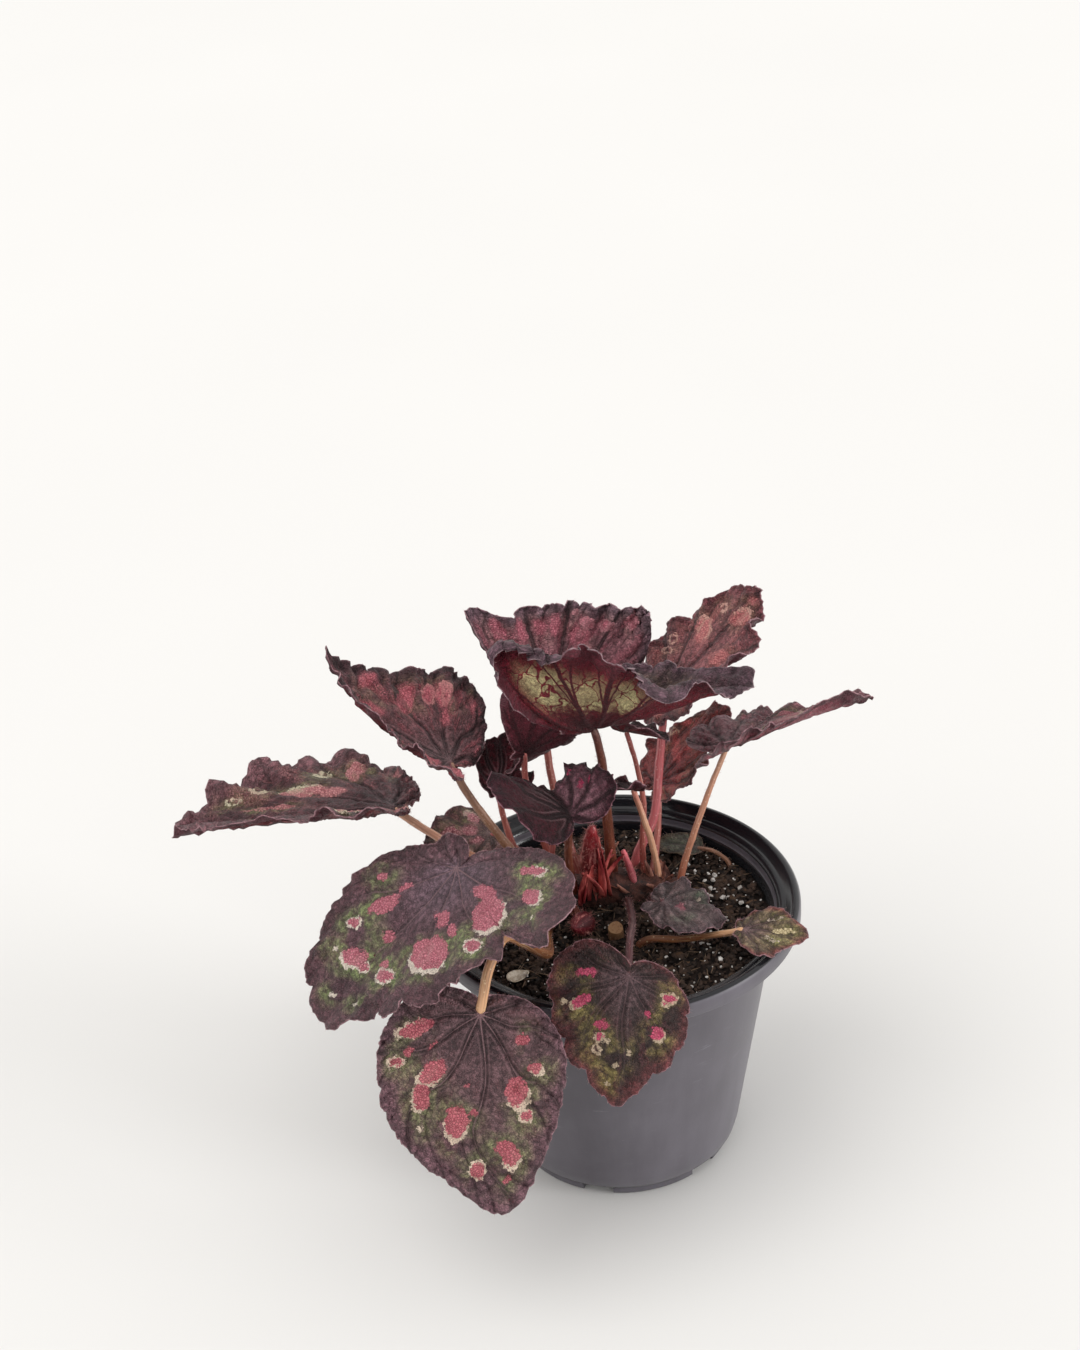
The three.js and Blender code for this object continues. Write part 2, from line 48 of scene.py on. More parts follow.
# Measurements shared with the solids
OUTLINE_ANGLES = np.array([0, 15, 35, 60, 90, 120, 150, 180.0])
SINUS = 0.08
LEAVES = [
    dict(name="far_left", base=[-72, 15, 128], heading=182, pitch=0, roll=-3, length=71,
         left=[0.9, 0.6, 0.5, 0.45, 0.25, 0.15], right=[0.95, 0.9, 0.75, 0.45, 0.25, 0.15],
         fold=[31, -8], curl=[11, -7], arch=4, twist=3, wave=2.4, waves=14, phase=20,
         route=[[-24, 11, 86], [-32, 12, 98], [-45, 13, 107], [-60, 14, 118]], girth=[2.0, 1.4]),
    dict(name="upper_left", base=[-52, 15, 145], heading=177, pitch=31, roll=-8, length=57,
         left=[0.75, 0.55, 0.5, 0.45, 0.3, 0.2], right=[0.8, 0.65, 0.65, 0.65, 0.35, 0.2],
         fold=[21, 8], curl=[29, 4], arch=-35, twist=8, wave=1.8, waves=14, phase=90,
         route=[[-23, 18, 86], [-28, 17, 98], [-35, 15, 111], [-46, 15, 131]], girth=[2.0, 1.4]),
    dict(name="top_back", base=[-16, 43, 148], heading=160, pitch=30, roll=-13, length=46,
         left=[0.6, 0.45, 0.35, 0.3, 0.25, 0.2], right=[0.8, 0.8, 0.8, 0.85, 1.0, 0.4],
         fold=[21, 31], curl=[30, 17], arch=-41, twist=3, wave=2.2, waves=14, phase=0,
         route=[[-9, 19, 86], [-15, 27, 108], [-19, 36, 129], [-19, 40, 139]], girth=[1.9, 1.3]),
    dict(name="top_centre", base=[-4, 0, 164], heading=-1, pitch=12, roll=-14, length=55,
         left=[0.75, 0.6, 0.5, 0.5, 0.4, 0.3], right=[0.85, 0.75, 0.7, 0.75, 1.0, 0.6],
         fold=[14, 31], curl=[38, 57], arch=-13, twist=14, wave=2.0, waves=13, phase=40,
         route=[[1, 15, 86], [0, 14, 107], [-1, 11, 131], [-2, 5, 150]], girth=[2.4, 1.4]),
    dict(name="top_right", base=[22, 45, 150], heading=16, pitch=36, roll=12, length=47,
         left=[0.9, 0.65, 0.55, 0.4, 0.45, 0.35], right=[0.9, 0.95, 0.9, 0.7, 0.4, 0.3],
         fold=[-1, 17], curl=[-8, 25], arch=-14, twist=3, wave=2.4, waves=14, phase=60,
         route=[[6, 22, 86], [10, 26, 97], [16, 32, 107], [19, 40, 125]], girth=[2.3, 1.8]),
    dict(name="far_right", base=[41, 25, 139], heading=9, pitch=15, roll=-11, length=51,
         left=[0.8, 0.6, 0.55, 0.45, 0.4, 0.25], right=[0.85, 0.45, 0.45, 0.45, 0.4, 0.25],
         fold=[0, 14], curl=[1, 35], arch=2, twist=-19, wave=2.0, waves=14, phase=0,
         route=[[22, 14, 85], [25, 16, 98], [29, 18, 110], [35, 22, 125]], girth=[1.8, 1.3]),
    dict(name="back_right", base=[19, 50, 109], heading=26, pitch=39, roll=10, length=36,
         left=[0.95, 0.7, 0.65, 0.45, 0.25, 0.15], right=[0.85, 0.6, 0.65, 0.4, 0.3, 0.2],
         fold=[-20, 13], curl=[2, 40], arch=5, twist=2, wave=1.6, waves=12, phase=30,
         route=[[14, 20, 86], [16, 29, 94], [18, 40, 101]], girth=[1.6, 1.2]),
    dict(name="under_left", base=[-27, 15, 147], heading=24, pitch=35, roll=-72, length=26,
         left=[0.85, 0.85, 0.95, 0.9, 0.7, 0.2], right=[0.85, 0.7, 0.9, 0.35, 0.15, 0.2],
         fold=[7, 21], curl=[28, 38], arch=1, twist=-30, wave=1.2, waves=12, phase=0,
         route=[[-16, 21, 86], [-23, 21, 110], [-27, 19, 133]], girth=[1.6, 1.1]),
    dict(name="crimson_left", base=[-37, 29, 124], heading=76, pitch=39, roll=11, length=21,
         left=[0.85, 0.75, 0.7, 0.4, 0.2, 0.2], right=[0.95, 0.55, 0.65, 0.6, 0.45, 0.25],
         fold=[36, 0], curl=[31, 25], arch=14, twist=-9, wave=1.0, waves=11, phase=0,
         route=[[-26, 22, 86], [-31, 24, 98], [-35, 27, 111]], girth=[1.5, 1.1]),
    dict(name="dark_centre", base=[-13, -10, 138], heading=112, pitch=16, roll=0, length=30,
         left=[0.8, 0.75, 0.9, 1.05, 0.7, 0.3], right=[0.85, 0.75, 0.65, 0.6, 0.4, 0.2],
         fold=[32, 32], curl=[5, 5], arch=60, twist=0, wave=1.6, waves=11, phase=70,
         route=[[-11.5, 11, 86], [-14, 7, 105], [-14, -2, 123]], girth=[1.7, 1.3]),
    dict(name="front_left", base=[-50, -25, 130], heading=210, pitch=-35, roll=-10, length=66,
         left=[0.85, 0.8, 0.8, 0.95, 0.7, 0.25], right=[0.95, 0.75, 0.45, 0.2, 0.2, 0.15],
         fold=[13, 11], curl=[9, -12], arch=6, twist=13, wave=1.6, waves=12, phase=0,
         route=[[-12, 4.5, 87], [-19, -3, 103], [-32, -13, 119], [-43, -21, 127]], girth=[2.2, 1.6]),
    dict(name="front_low", base=[-45, -65, 103], heading=276, pitch=-61, roll=-3, length=65,
         left=[0.8, 0.6, 0.45, 0.28, 0.15, 0.1], right=[0.85, 0.75, 0.6, 0.45, 0.3, 0.15],
         fold=[1, -3], curl=[-9, -8], arch=12, twist=8, wave=0.8, waves=13, phase=0,
         route=[[-21, 4, 86], [-23, -10, 91], [-23, -27, 96], [-31, -41, 112], [-36, -49, 120],
                [-41, -58, 116]], girth=[2.1, 1.8]),
    dict(name="front_small", base=[2, -58, 109], heading=252, pitch=-51, roll=-2, length=41,
         left=[0.85, 0.75, 0.6, 0.4, 0.25, 0.15], right=[0.85, 0.75, 0.65, 0.6, 0.45, 0.2],
         fold=[-15, 4], curl=[-25, -5], arch=22, twist=-3, wave=0.8, waves=12, phase=45,
         route=[[5, 9, 86], [5, 2, 94], [5, -22, 103], [3, -45, 111]], girth=[1.6, 1.3]),
    dict(name="soil_right", base=[16, -11, 102], heading=336, pitch=1, roll=-1, length=22,
         left=[0.8, 0.7, 0.65, 0.6, 0.45, 0.3], right=[0.9, 0.8, 0.6, 0.45, 0.3, 0.35],
         fold=[1, -6], curl=[4, 1], arch=16, twist=0, wave=0.8, waves=10, phase=0,
         route=[[12, 7, 86], [13, 2, 95], [15, -6, 100]], girth=[1.3, 1.0]),
    dict(name="rim_right", base=[41, -27, 101], heading=353, pitch=1, roll=-1, length=21,
         left=[0.85, 0.75, 0.55, 0.3, 0.25, 0.15], right=[0.85, 0.7, 0.7, 0.45, 0.2, 0.2],
         fold=[10, 1], curl=[-5, -3], arch=12, twist=15, wave=0.6, waves=10, phase=0,
         route=[[5, -14, 85], [10, -15, 90], [21, -18, 92], [32, -22, 96]], girth=[1.5, 1.2]),
    dict(name="back_left", base=[-41, 33, 103], heading=185, pitch=3, roll=-1, length=23,
         left=[0.9, 0.75, 0.65, 0.6, 0.5, 0.25], right=[0.9, 0.85, 0.7, 0.45, 0.2, 0.2],
         fold=[-4, 7], curl=[-5, 8], arch=8, twist=-6, wave=1.0, waves=11, phase=0,
         route=[[-24, 27, 86], [-28, 29, 94], [-34, 31, 100]], girth=[1.4, 1.1]),
    dict(name="old_leaf", base=[31, 35, 91], heading=166, pitch=6, roll=-2, length=15,
         left=[0.9, 0.65, 0.5, 0.3, 0.2, 0.15], right=[0.85, 0.6, 0.45, 0.35, 0.2, 0.15],
         fold=[11, 12], curl=[-7, 13], arch=8, twist=-5, wave=0.8, waves=9, phase=0,
         route=[[42, 23, 86], [41, 27, 90], [36, 32, 91.5]], girth=[0.9, 0.8]),
    dict(name="hidden_small", base=[7, 20, 150], heading=-28, pitch=8, roll=-30, length=16,
         left=[0.85, 0.7, 0.6, 0.5, 0.4, 0.25], right=[0.85, 0.7, 0.6, 0.5, 0.4, 0.25],
         fold=[15, 15], curl=[15, 15], arch=10, twist=0, wave=0.8, waves=9, phase=0,
         route=[[13, 15, 86], [11, 16, 103], [12, 19, 122], [10, 20, 137]], girth=[1.4, 1.0]),
    dict(name="crumpled", base=[8, 3, 138], heading=210, pitch=30, roll=10, length=8,
         left=[0.9, 0.8, 0.8, 0.7, 0.5, 0.3], right=[0.9, 0.8, 0.8, 0.7, 0.5, 0.3],
         fold=[18, 16], curl=[30, 20], arch=20, twist=10, wave=0.7, waves=8, phase=0,
         route=[[17, 13, 86], [16, 14, 96], [14, 12, 110], [12, 9, 120], [10, 6, 129]], girth=[1.6, 1.2]),
    dict(name="young_leaf", base=[-19, 5, 118], heading=150, pitch=35, roll=-10, length=9,
         left=[0.9, 0.8, 0.75, 0.65, 0.5, 0.3], right=[0.9, 0.8, 0.75, 0.65, 0.5, 0.3],
         fold=[45, 35], curl=[40, 45], arch=-10, twist=10, wave=0.8, waves=8, phase=0,
         route=[[-16.5, 8.5, 87], [-19, 8, 98], [-20, 7, 108]], girth=[1.5, 1.1]),
]

RIM_RADIUS = 62.5
NECK_RADIUS = 54.5
HEEL_RADIUS = 41.3
WALL = 1.3
WALL_FOOT, WALL_HEAD = 9, 93.5
INSIDE_FOOT, INSIDE_HEAD = 8, 90.5
FLOOR_TOP = 3.6
FOOT_HEIGHT = 2.6
SOIL_LEVEL = 88
SOIL_CLEARANCE = 0.45

# Blotches on the upper face of a leaf: angle from the midrib, share of the way to the edge, half length
# and half width in mm, lean from the outward direction, and the kind of pale crust
BLOTCHES = {
    "front_left": [
        (83, 0.45, 7.4, 6.0, 0, "crust"), (92, 0.29, 5.6, 2.7, 8, "plain"), (38, 0.60, 9.4, 5.8, 62, "crust"),
        (-26, 0.48, 6.0, 2.8, -5, "plain"), (-33, 0.36, 2.8, 1.1, 4, "plain"),
        (-47, 0.66, 1.9, 1.2, 0, "plain"), (-25, 0.68, 2.6, 1.4, -37, "ring"),
        (-6, 0.48, 2.5, 1.7, -59, "plain"), (39, 0.36, 4.2, 2.5, 52, "plain"),
        (54, 0.48, 2.9, 1.9, 38, "plain"), (-11, 0.68, 4.4, 2.8, -45, "crust"),
        (-5, 0.67, 2.1, 1.4, -66, "ring"), (8, 0.63, 3.0, 1.5, 90, "plain"),
        (13, 0.72, 3.8, 2.0, -80, "ring"), (69, 0.67, 4.0, 2.0, 25, "ring"),
        (119, 0.67, 5.0, 1.9, -3, "crust"), (104, 0.66, 4.4, 2.5, -18, "crust"),
        (96, 0.75, 0.9, 0.6, 0, "cream"), (-19, 0.79, 1.2, 0.7, -39, "cream"),
        (-7, 0.88, 1.5, 0.8, -49, "cream"), (7, 0.87, 2.4, 1.0, -82, "cream"),
    ],
    "front_low": [
        (-84, 0.64, 5.9, 2.2, 6, "crust"), (-68, 0.68, 1.7, 1.5, 0, "plain"),
        (-66, 0.81, 2.1, 1.5, -28, "ring"), (-45, 0.51, 4.7, 3.4, -16, "crust"),
        (-41, 0.68, 4.6, 2.6, 35, "crust"), (-18, 0.64, 5.4, 3.6, 9, "crust"),
        (-10, 0.54, 1.2, 1.0, 0, "plain"), (53, 0.49, 2.5, 2.1, 20, "plain"),
        (39, 0.65, 2.4, 1.8, 44, "crust"), (19, 0.55, 4.4, 3.6, -19, "crust"),
        (18, 0.71, 1.6, 1.6, 0, "ring"), (5, 0.72, 3.6, 2.4, 60, "plain"), (6, 0.78, 3.0, 2.7, -41, "crust"),
        (-7, 0.83, 2.6, 2.1, -7, "ring"), (3, 0.86, 1.7, 0.9, -19, "plain"),
        (-16, 0.41, 0.6, 0.6, 0, "plain"), (-63, 0.46, 1.9, 0.7, 12, "plain"),
        (-33, 0.82, 0.8, 0.7, 0, "cream"),
    ],
    "front_small": [
        (-88, 0.53, 3.5, 1.3, 6, "plain"), (-56, 0.61, 3.1, 1.7, -3, "crust"),
        (-62, 0.84, 1.0, 0.9, 0, "cream"), (-24, 0.53, 1.9, 1.5, -38, "plain"),
        (-19, 0.62, 1.0, 0.9, 0, "ring"), (-12, 0.59, 0.8, 0.7, 0, "cream"),
        (-18, 0.73, 1.9, 1.7, 18, "cream"), (-2, 0.70, 1.0, 0.9, 0, "cream"),
        (-5, 0.89, 1.0, 0.7, 0, "cream"), (68, 0.66, 2.2, 1.4, 30, "ring"), (33, 0.42, 1.3, 1.1, 50, "plain"),
        (33, 0.64, 2.2, 1.9, -26, "crust"), (7, 0.63, 0.9, 0.6, 85, "cream"),
    ],
    "far_left": [
        (-24, 0.74, 4.4, 4.0, 23, "cream"), (-51, 0.67, 3.6, 3.4, 40, "cream"),
        (-67, 0.66, 4.8, 3.8, -14, "plain"), (-31, 0.56, 9.0, 3.0, 27, "crust"),
        (-37, 0.4, 5.5, 2.4, 30, "plain"), (-10, 0.62, 9.0, 1.7, 8, "plain"),
        (-94, 0.84, 2.4, 1.2, 22, "plain"), (-16, 0.84, 3.0, 1.2, 10, "cream"),
        (8, 0.5, 8.0, 1.8, -6, "plain"),
    ],
    "upper_left": [
        (-15, 0.85, 4.0, 2.6, 84, "plain"), (0, 0.58, 6.7, 2.8, 37, "plain"),
        (-36, 0.71, 6.5, 3.2, -52, "plain"), (-60, 0.73, 4.4, 2.4, -37, "ring"),
        (-73, 0.70, 4.8, 2.3, -2, "crust"), (-75, 0.49, 3.6, 1.8, -6, "plain"),
        (-96, 0.79, 3.7, 1.5, 16, "plain"),
    ],
    "top_back": [
        (-38, 0.77, 3.0, 2.6, 24, "plain"), (-50, 0.77, 4.6, 2.4, 20, "plain"),
        (-74, 0.66, 4.6, 3.6, 78, "plain"), (-75, 0.81, 2.7, 1.8, 72, "ring"),
        (-92, 0.82, 2.6, 1.8, -71, "ring"), (-108, 0.86, 3.2, 2.2, -72, "ring"),
        (-63, 0.89, 1.5, 1.2, 61, "cream"), (-11, 0.84, 5.4, 2.2, 12, "plain"),
        (-24, 0.8, 4.6, 1.6, 10, "plain"),
    ],
    "top_right": [
        (19, 0.59, 4.8, 2.8, 30, "crust"), (-3, 0.77, 4.4, 2.7, -45, "crust"),
        (-28, 0.57, 7.6, 3.0, -42, "plain"), (13, 0.79, 2.7, 1.5, 79, "cream"),
        (49, 0.71, 1.9, 1.6, 12, "cream"), (58, 0.62, 2.8, 1.4, 55, "cream"),
        (-2, 0.93, 2.4, 1.4, -60, "plain"),
    ],
    "back_right": [
        (37, 0.85, 2.4, 1.3, 67, "cream"), (26, 0.88, 2.3, 1.1, -64, "plain"),
        (14, 0.36, 4.3, 2.0, 56, "plain"), (-1, 0.48, 3.0, 1.7, -29, "plain"),
        (30, 0.6, 2.6, 1.6, 0, "plain"),
    ],
    "far_right": [(61, 0.78, 2.8, 1.7, 33, "plain"), (26, 0.74, 2.5, 1.5, -29, "plain")],
    "rim_right": [
        (2, 0.62, 4.4, 0.8, 0, "plain"), (-24, 0.6, 2.6, 0.5, 10, "cream"), (26, 0.7, 2.4, 0.5, -10, "cream"),
    ],
    "soil_right": [(-3, 0.30, 1.8, 1.2, -66, "plain"), (30, 0.75, 0.5, 0.4, 0, "cream")],
    "dark_centre": [
        (-48, 0.55, 1.8, 1.0, 10, "plain"), (-62, 0.7, 1.2, 0.8, 0, "plain"),
        (-30, 0.72, 1.5, 0.7, 0, "plain"),
    ],
    "back_left": [
        (-10, 0.64, 3.6, 2.2, 0, "plain"), (-21, 0.36, 2.8, 2.2, 13, "plain"),
        (32, 0.3, 2.2, 1.6, 0, "plain"), (-60, 0.6, 3.0, 2.0, 0, "crust"),
    ],
}
# Leaves that get more blotches by rule, with the angles between which they lie
SCATTERED = {
    "far_left": (20, 150), "upper_left": (20, 150), "top_back": (10, 150), "top_right": (-150, -50),
    "top_centre": (-150, 150), "far_right": (-150, 20), "back_right": (-150, -20),
}


def linear(red, green, blue):
    """A colour as seen, 0 to 255, as the numbers that a shader takes"""
    def one(value):
        value = value / 255
        return value / 12.92 if value <= 0.04045 else ((value + 0.055) / 1.055) ** 2.4
    return (one(red), one(green), one(blue), 1.0)


# Node helpers
class Graph:
    """Adds nodes to a tree, with their inputs set or linked as they are made"""

    def __init__(self, tree):
        self.tree = tree

    def add(self, kind, inputs=None, **settings):
        node = self.tree.nodes.new(kind)
        for key, value in settings.items():
            setattr(node, key, value)
        for key, value in (inputs or {}).items():
            self.feed(node.inputs[key], value)
        return node

    def feed(self, socket, value):
        if isinstance(value, bpy.types.NodeSocket):
            self.tree.links.new(value, socket)
        else:
            socket.default_value = value

    def math(self, operation, a, b=0.0, c=0.0):
        return self.add("ShaderNodeMath", {0: a, 1: b, 2: c}, operation=operation).outputs[0]

    def times(self, first, *others):
        for other in others:
            first = self.math("MULTIPLY", first, other)
        return first


class Shader(Graph):
    """Short names for the shader nodes used here; each gives back an output socket"""

    def vector(self, operation, a, b=(0.0, 0.0, 0.0)):
        node = self.add("ShaderNodeVectorMath", {0: a}, operation=operation)
        if operation == "SCALE":
            self.feed(node.inputs["Scale"], b)
        elif operation != "LENGTH":
            self.feed(node.inputs[1], b)
        return node.outputs["Value" if operation == "LENGTH" else "Vector"]

    def ramp(self, value, low, high, start=0.0, end=1.0):
        """Goes smoothly from start to end as the value goes from low to high"""
        given = {"Value": value, "From Min": low, "From Max": high, "To Min": start, "To Max": end}
        return self.add("ShaderNodeMapRange", given, interpolation_type="SMOOTHSTEP").outputs["Result"]

    def mix(self, share, first, second, blend="MIX"):
        node = self.add("ShaderNodeMix", data_type="RGBA", blend_type=blend, clamp_factor=True)
        self.feed(node.inputs["Factor"], share)
        self.feed(node.inputs[6], first)
        self.feed(node.inputs[7], second)
        return node.outputs[2]

    def noise(self, place, scale, detail=2.0, rough=0.5, output="Fac"):
        given = {"Vector": place, "Scale": scale, "Detail": detail, "Roughness": rough}
        return self.add("ShaderNodeTexNoise", given).outputs[output]

    def cells(self, place, scale, output):
        """A pattern of cells: each one's Position or Color, or the Distance to its middle"""
        return self.add("ShaderNodeTexVoronoi", {"Vector": place, "Scale": scale}).outputs[output]

    def cell_edges(self, place, scale):
        """Distance to the nearest edge between cells"""
        given = {"Vector": place, "Scale": scale}
        return self.add("ShaderNodeTexVoronoi", given, feature="DISTANCE_TO_EDGE").outputs[0]

    def attribute(self, name, output="Vector"):
        return self.add("ShaderNodeAttribute", attribute_name=name).outputs[output]

    def parts(self, vector):
        return self.add("ShaderNodeSeparateXYZ", {0: vector}).outputs

    def place(self):
        return self.add("ShaderNodeTexCoord").outputs["Object"]

    def bump(self, height, distance, strength=1.0):
        given = {"Height": height, "Distance": distance, "Strength": strength}
        return self.add("ShaderNodeBump", given).outputs[0]


def new_material(name):
    material = bpy.data.materials.new(name)
    material.use_nodes = True
    material.node_tree.nodes.clear()
    shader = Shader(material.node_tree)
    surface = shader.add("ShaderNodeBsdfPrincipled")
    output = shader.add("ShaderNodeOutputMaterial")
    material.node_tree.links.new(surface.outputs[0], output.inputs[0])
    return material, shader, surface


# Leaf blades
def smooth_through(xs, ys, x):
    """Smooth curve through samples (a cubic with slopes taken from each sample's neighbours)"""
    xs, ys = np.array(xs, float), np.array(ys, float)
    i = np.clip(np.searchsorted(xs, x) - 1, 0, len(xs) - 2)

    def slope(k):
        before, after = np.maximum(k - 1, 0), np.minimum(k + 1, len(xs) - 1)
        return (ys[after] - ys[before]) / (xs[after] - xs[before])

    span = xs[i + 1] - xs[i]
    t = (x - xs[i]) / span
    lean = t * (1 - t) ** 2 * slope(i) - t * t * (1 - t) * slope(i + 1)
    return ys[i] + (ys[i + 1] - ys[i]) * t * t * (3 - 2 * t) + span * lean


# Where a finished leaf's outline leaves the solid's: angle, half width in degrees, share of the radius
RESHAPED = {
    "dark_centre": [(0, 20, -0.42)], "top_centre": [(-152, 22, -0.62), (-126, 8, 0.12), (-108, 8, -0.08)],
    "upper_left": [(0, 2.5, 0.06), (4, 3, -0.05), (15, 8, 0.09), (140, 45, -0.5)],
    "front_left": [(72, 14, -0.14), (84, 3.6, -0.28), (97, 8, 0.03)],
    "far_left": [(0, 10, 0.04), (140, 40, -0.4)],
}
# How widely the tips are rounded, in degrees, and the leaf that keeps its sharp tip
TIP_ROUNDING = 4.5
SHARP_TIPPED = "upper_left"


def outline_radius(leaf, angle, finished=True):
    across = np.abs(angle)
    if finished and leaf["name"] != SHARP_TIPPED:
        across = np.hypot(across, TIP_ROUNDING) - TIP_ROUNDING * np.exp(-(across / (3 * TIP_ROUNDING)) ** 2)
        across = np.minimum(across, 180)
    left = smooth_through(OUTLINE_ANGLES, [1, *leaf["left"], SINUS], across)
    right = smooth_through(OUTLINE_ANGLES, [1, *leaf["right"], SINUS], across)
    radius = leaf["length"] * np.where(angle >= 0, left, right)
    for middle, half, change in RESHAPED.get(leaf["name"], []) if finished else []:
        away = (angle - middle + 180) % 360 - 180
        radius = radius * (1 + change * np.exp(-(away / half) ** 2))
    return radius


def turn(a, b, angle):
    return a * np.cos(angle) - b * np.sin(angle), a * np.sin(angle) + b * np.cos(angle)


def wander(x, seed, low, high, count=6):
    """A smooth random line in x, about -1 to 1, of waves between two frequencies"""
    rng = random.Random(seed)
    waves = [(rng.uniform(low, high), rng.uniform(0, 2 * math.pi)) for _ in range(count)]
    return sum(np.sin(x * f + p) for f, p in waves) / math.sqrt(count) * 0.9


# Leaf margins: width and depth of the scallops, and how far they stand up on the left and right half, in mm
PLAIN_MARGIN = (8, 1.3, 0.8, 0.8)
MARGINS = {
    "far_left": (14, 1.8, 0.7, 5.0), "upper_left": (10, 2.8, 0.8, 2.2), "top_back": (9, 2.4, 2.2, 2.2),
    "top_centre": (13, 3.0, 1.4, 1.4), "top_right": (13, 3.6, 1.8, 1.4), "far_right": (11, 2.8, 3.0, 1.0),
    "back_right": (10, 2.4, 1.2, 1.2), "front_left": (15, 6.4, 1.2, 1.2), "front_low": (7, 1.4, 0.5, 0.5),
    "front_small": (11, 3.6, 1.0, 1.0), "dark_centre": (7, 1.9, 2.1, 2.1), "under_left": (7, 1.8, 1.3, 1.3),
    "crimson_left": (7, 1.8, 1.3, 1.3), "back_left": (6, 1.4, 1.0, 1.0), "soil_right": (7, 1.6, 1.0, 1.0),
    "rim_right": (6, 0.9, 0.5, 0.5),
}
# Lobes that stand up along one margin in place of its frill: angle, half width in degrees, height in mm
STANDING_LOBES = {
    "far_left": [(-7, 4.5, 7.5), (-21, 4.5, 8), (-39, 6, 10.5), (-57, 4.5, 8.5), (-70, 5.5, 9.5),
                 (-93, 8, 7)],
}
# How far the margin dips between those lobes, in mm
LOBE_DIP = 3.5
# Stretches of margin rolled over towards the underside: middle angle, half width, turn in degrees
ROLLS = {
    "top_centre": [(-120, 15, 190), (-98, 10, 120), (-72, 12, 40), (-44, 14, 130), (-16, 12, 70)],
    "dark_centre": [(60, 30, 60), (-60, 30, 50)], "crimson_left": [(-80, 50, 70)],
}
ROLL_WIDTH = 9.5


def margin_run(leaf, angle):
    """How far along the margin an angle lies, in mm"""
    fine = np.linspace(-180, 180, 1441)
    radius = outline_radius(leaf, fine)
    x, y = radius * np.cos(fine * RAD), radius * np.sin(fine * RAD)
    run = np.concatenate([[0], np.cumsum(np.hypot(np.diff(x), np.diff(y)))])
    return np.interp(angle, fine, run)


def blade_surface(leaf, angle, share):
    """Points of the blade's middle surface in mm, and where they lie in the flat leaf"""
    length, seed = leaf["length"], leaf["name"]
    turns = angle * RAD
    calm = np.clip((172 - np.abs(angle)) / 60, 0, 1) ** 2
    width, depth, left_rise, right_rise = MARGINS.get(seed, PLAIN_MARGIN)
    rise = np.where(angle >= 0, left_rise, right_rise)
    run = margin_run(leaf, angle)
    run = run + 0.22 * width * wander(run, seed + "lobes", 0.3 / width, 2.4 / width)
    scallop = np.abs(np.sin(np.pi * run / width)) ** 0.6
    uneven = 0.75 + 0.35 * wander(run, seed + "depth", 0.4 / width, 1.6 / width)
    notches = np.abs(np.sin(np.pi * run / 3.1 + wander(run, seed, 0.2, 0.7))) ** 0.8
    edge = depth * uneven * (scallop - 0.76) * share ** 5 + 0.62 * (notches - 0.6) * share ** 22
    whole = outline_radius(leaf, angle)
    slope = (outline_radius(leaf, angle + 0.5) - outline_radius(leaf, angle - 0.5)) / (RAD * whole)
    calm = calm / (1 + slope ** 2)
    radius = whole * share + edge * calm * np.minimum(1, whole / (0.5 * length))
    along, across = radius * np.cos(turns), radius * np.sin(turns)
    side = (across < 0).astype(int)
    reach = np.abs(across)
    calm = calm * np.minimum(1, radius / (0.55 * length)) * np.minimum(1, whole / (0.5 * length))
    ripple = leaf["wave"] * share ** 2 * np.sin(turns * leaf["waves"] + leaf["phase"] * RAD)
    frill = rise * share ** 4 * (np.sin(2 * np.pi * run / width) + 0.25 * np.sin(2 * np.pi * run / 3.6))
    lobes = STANDING_LOBES.get(seed, [])
    if lobes:
        standing = sum(height * np.exp(-((angle - at) / half) ** 2) for at, half, height in lobes)
        frill = np.where(angle < 5, (standing - LOBE_DIP) * share ** 4 / 0.6, frill)
    ripple = calm * (ripple + frill * 0.6)

    bend = np.array(leaf["curl"], float)[side] * RAD / (0.6 * length)
    y = np.sin(bend * reach) / bend - ripple * np.sin(bend * reach)
    z = (1 - np.cos(bend * reach)) / bend + ripple * np.cos(bend * reach)
    lift = np.array(leaf["fold"], float)[side] * RAD * np.minimum(1, reach / (0.08 * length))
    y, z = turn(y, z, lift)
    y = np.where(side == 1, -y, y)
    arch = leaf["arch"] * RAD / length
    x = (1 / arch + z) * np.sin(arch * along)
    z = (1 / arch + z) * np.cos(arch * along) - 1 / arch
    y, z = turn(y, z, leaf["twist"] * RAD * along / length)
    y, z = turn(y, z, leaf["roll"] * RAD)
    x, z = turn(x, z, leaf["pitch"] * RAD)
    x, y = turn(x, y, leaf["heading"] * RAD)
    return np.stack([x, y, z], -1) + np.array(leaf["base"], float), np.stack([along, across], -1)


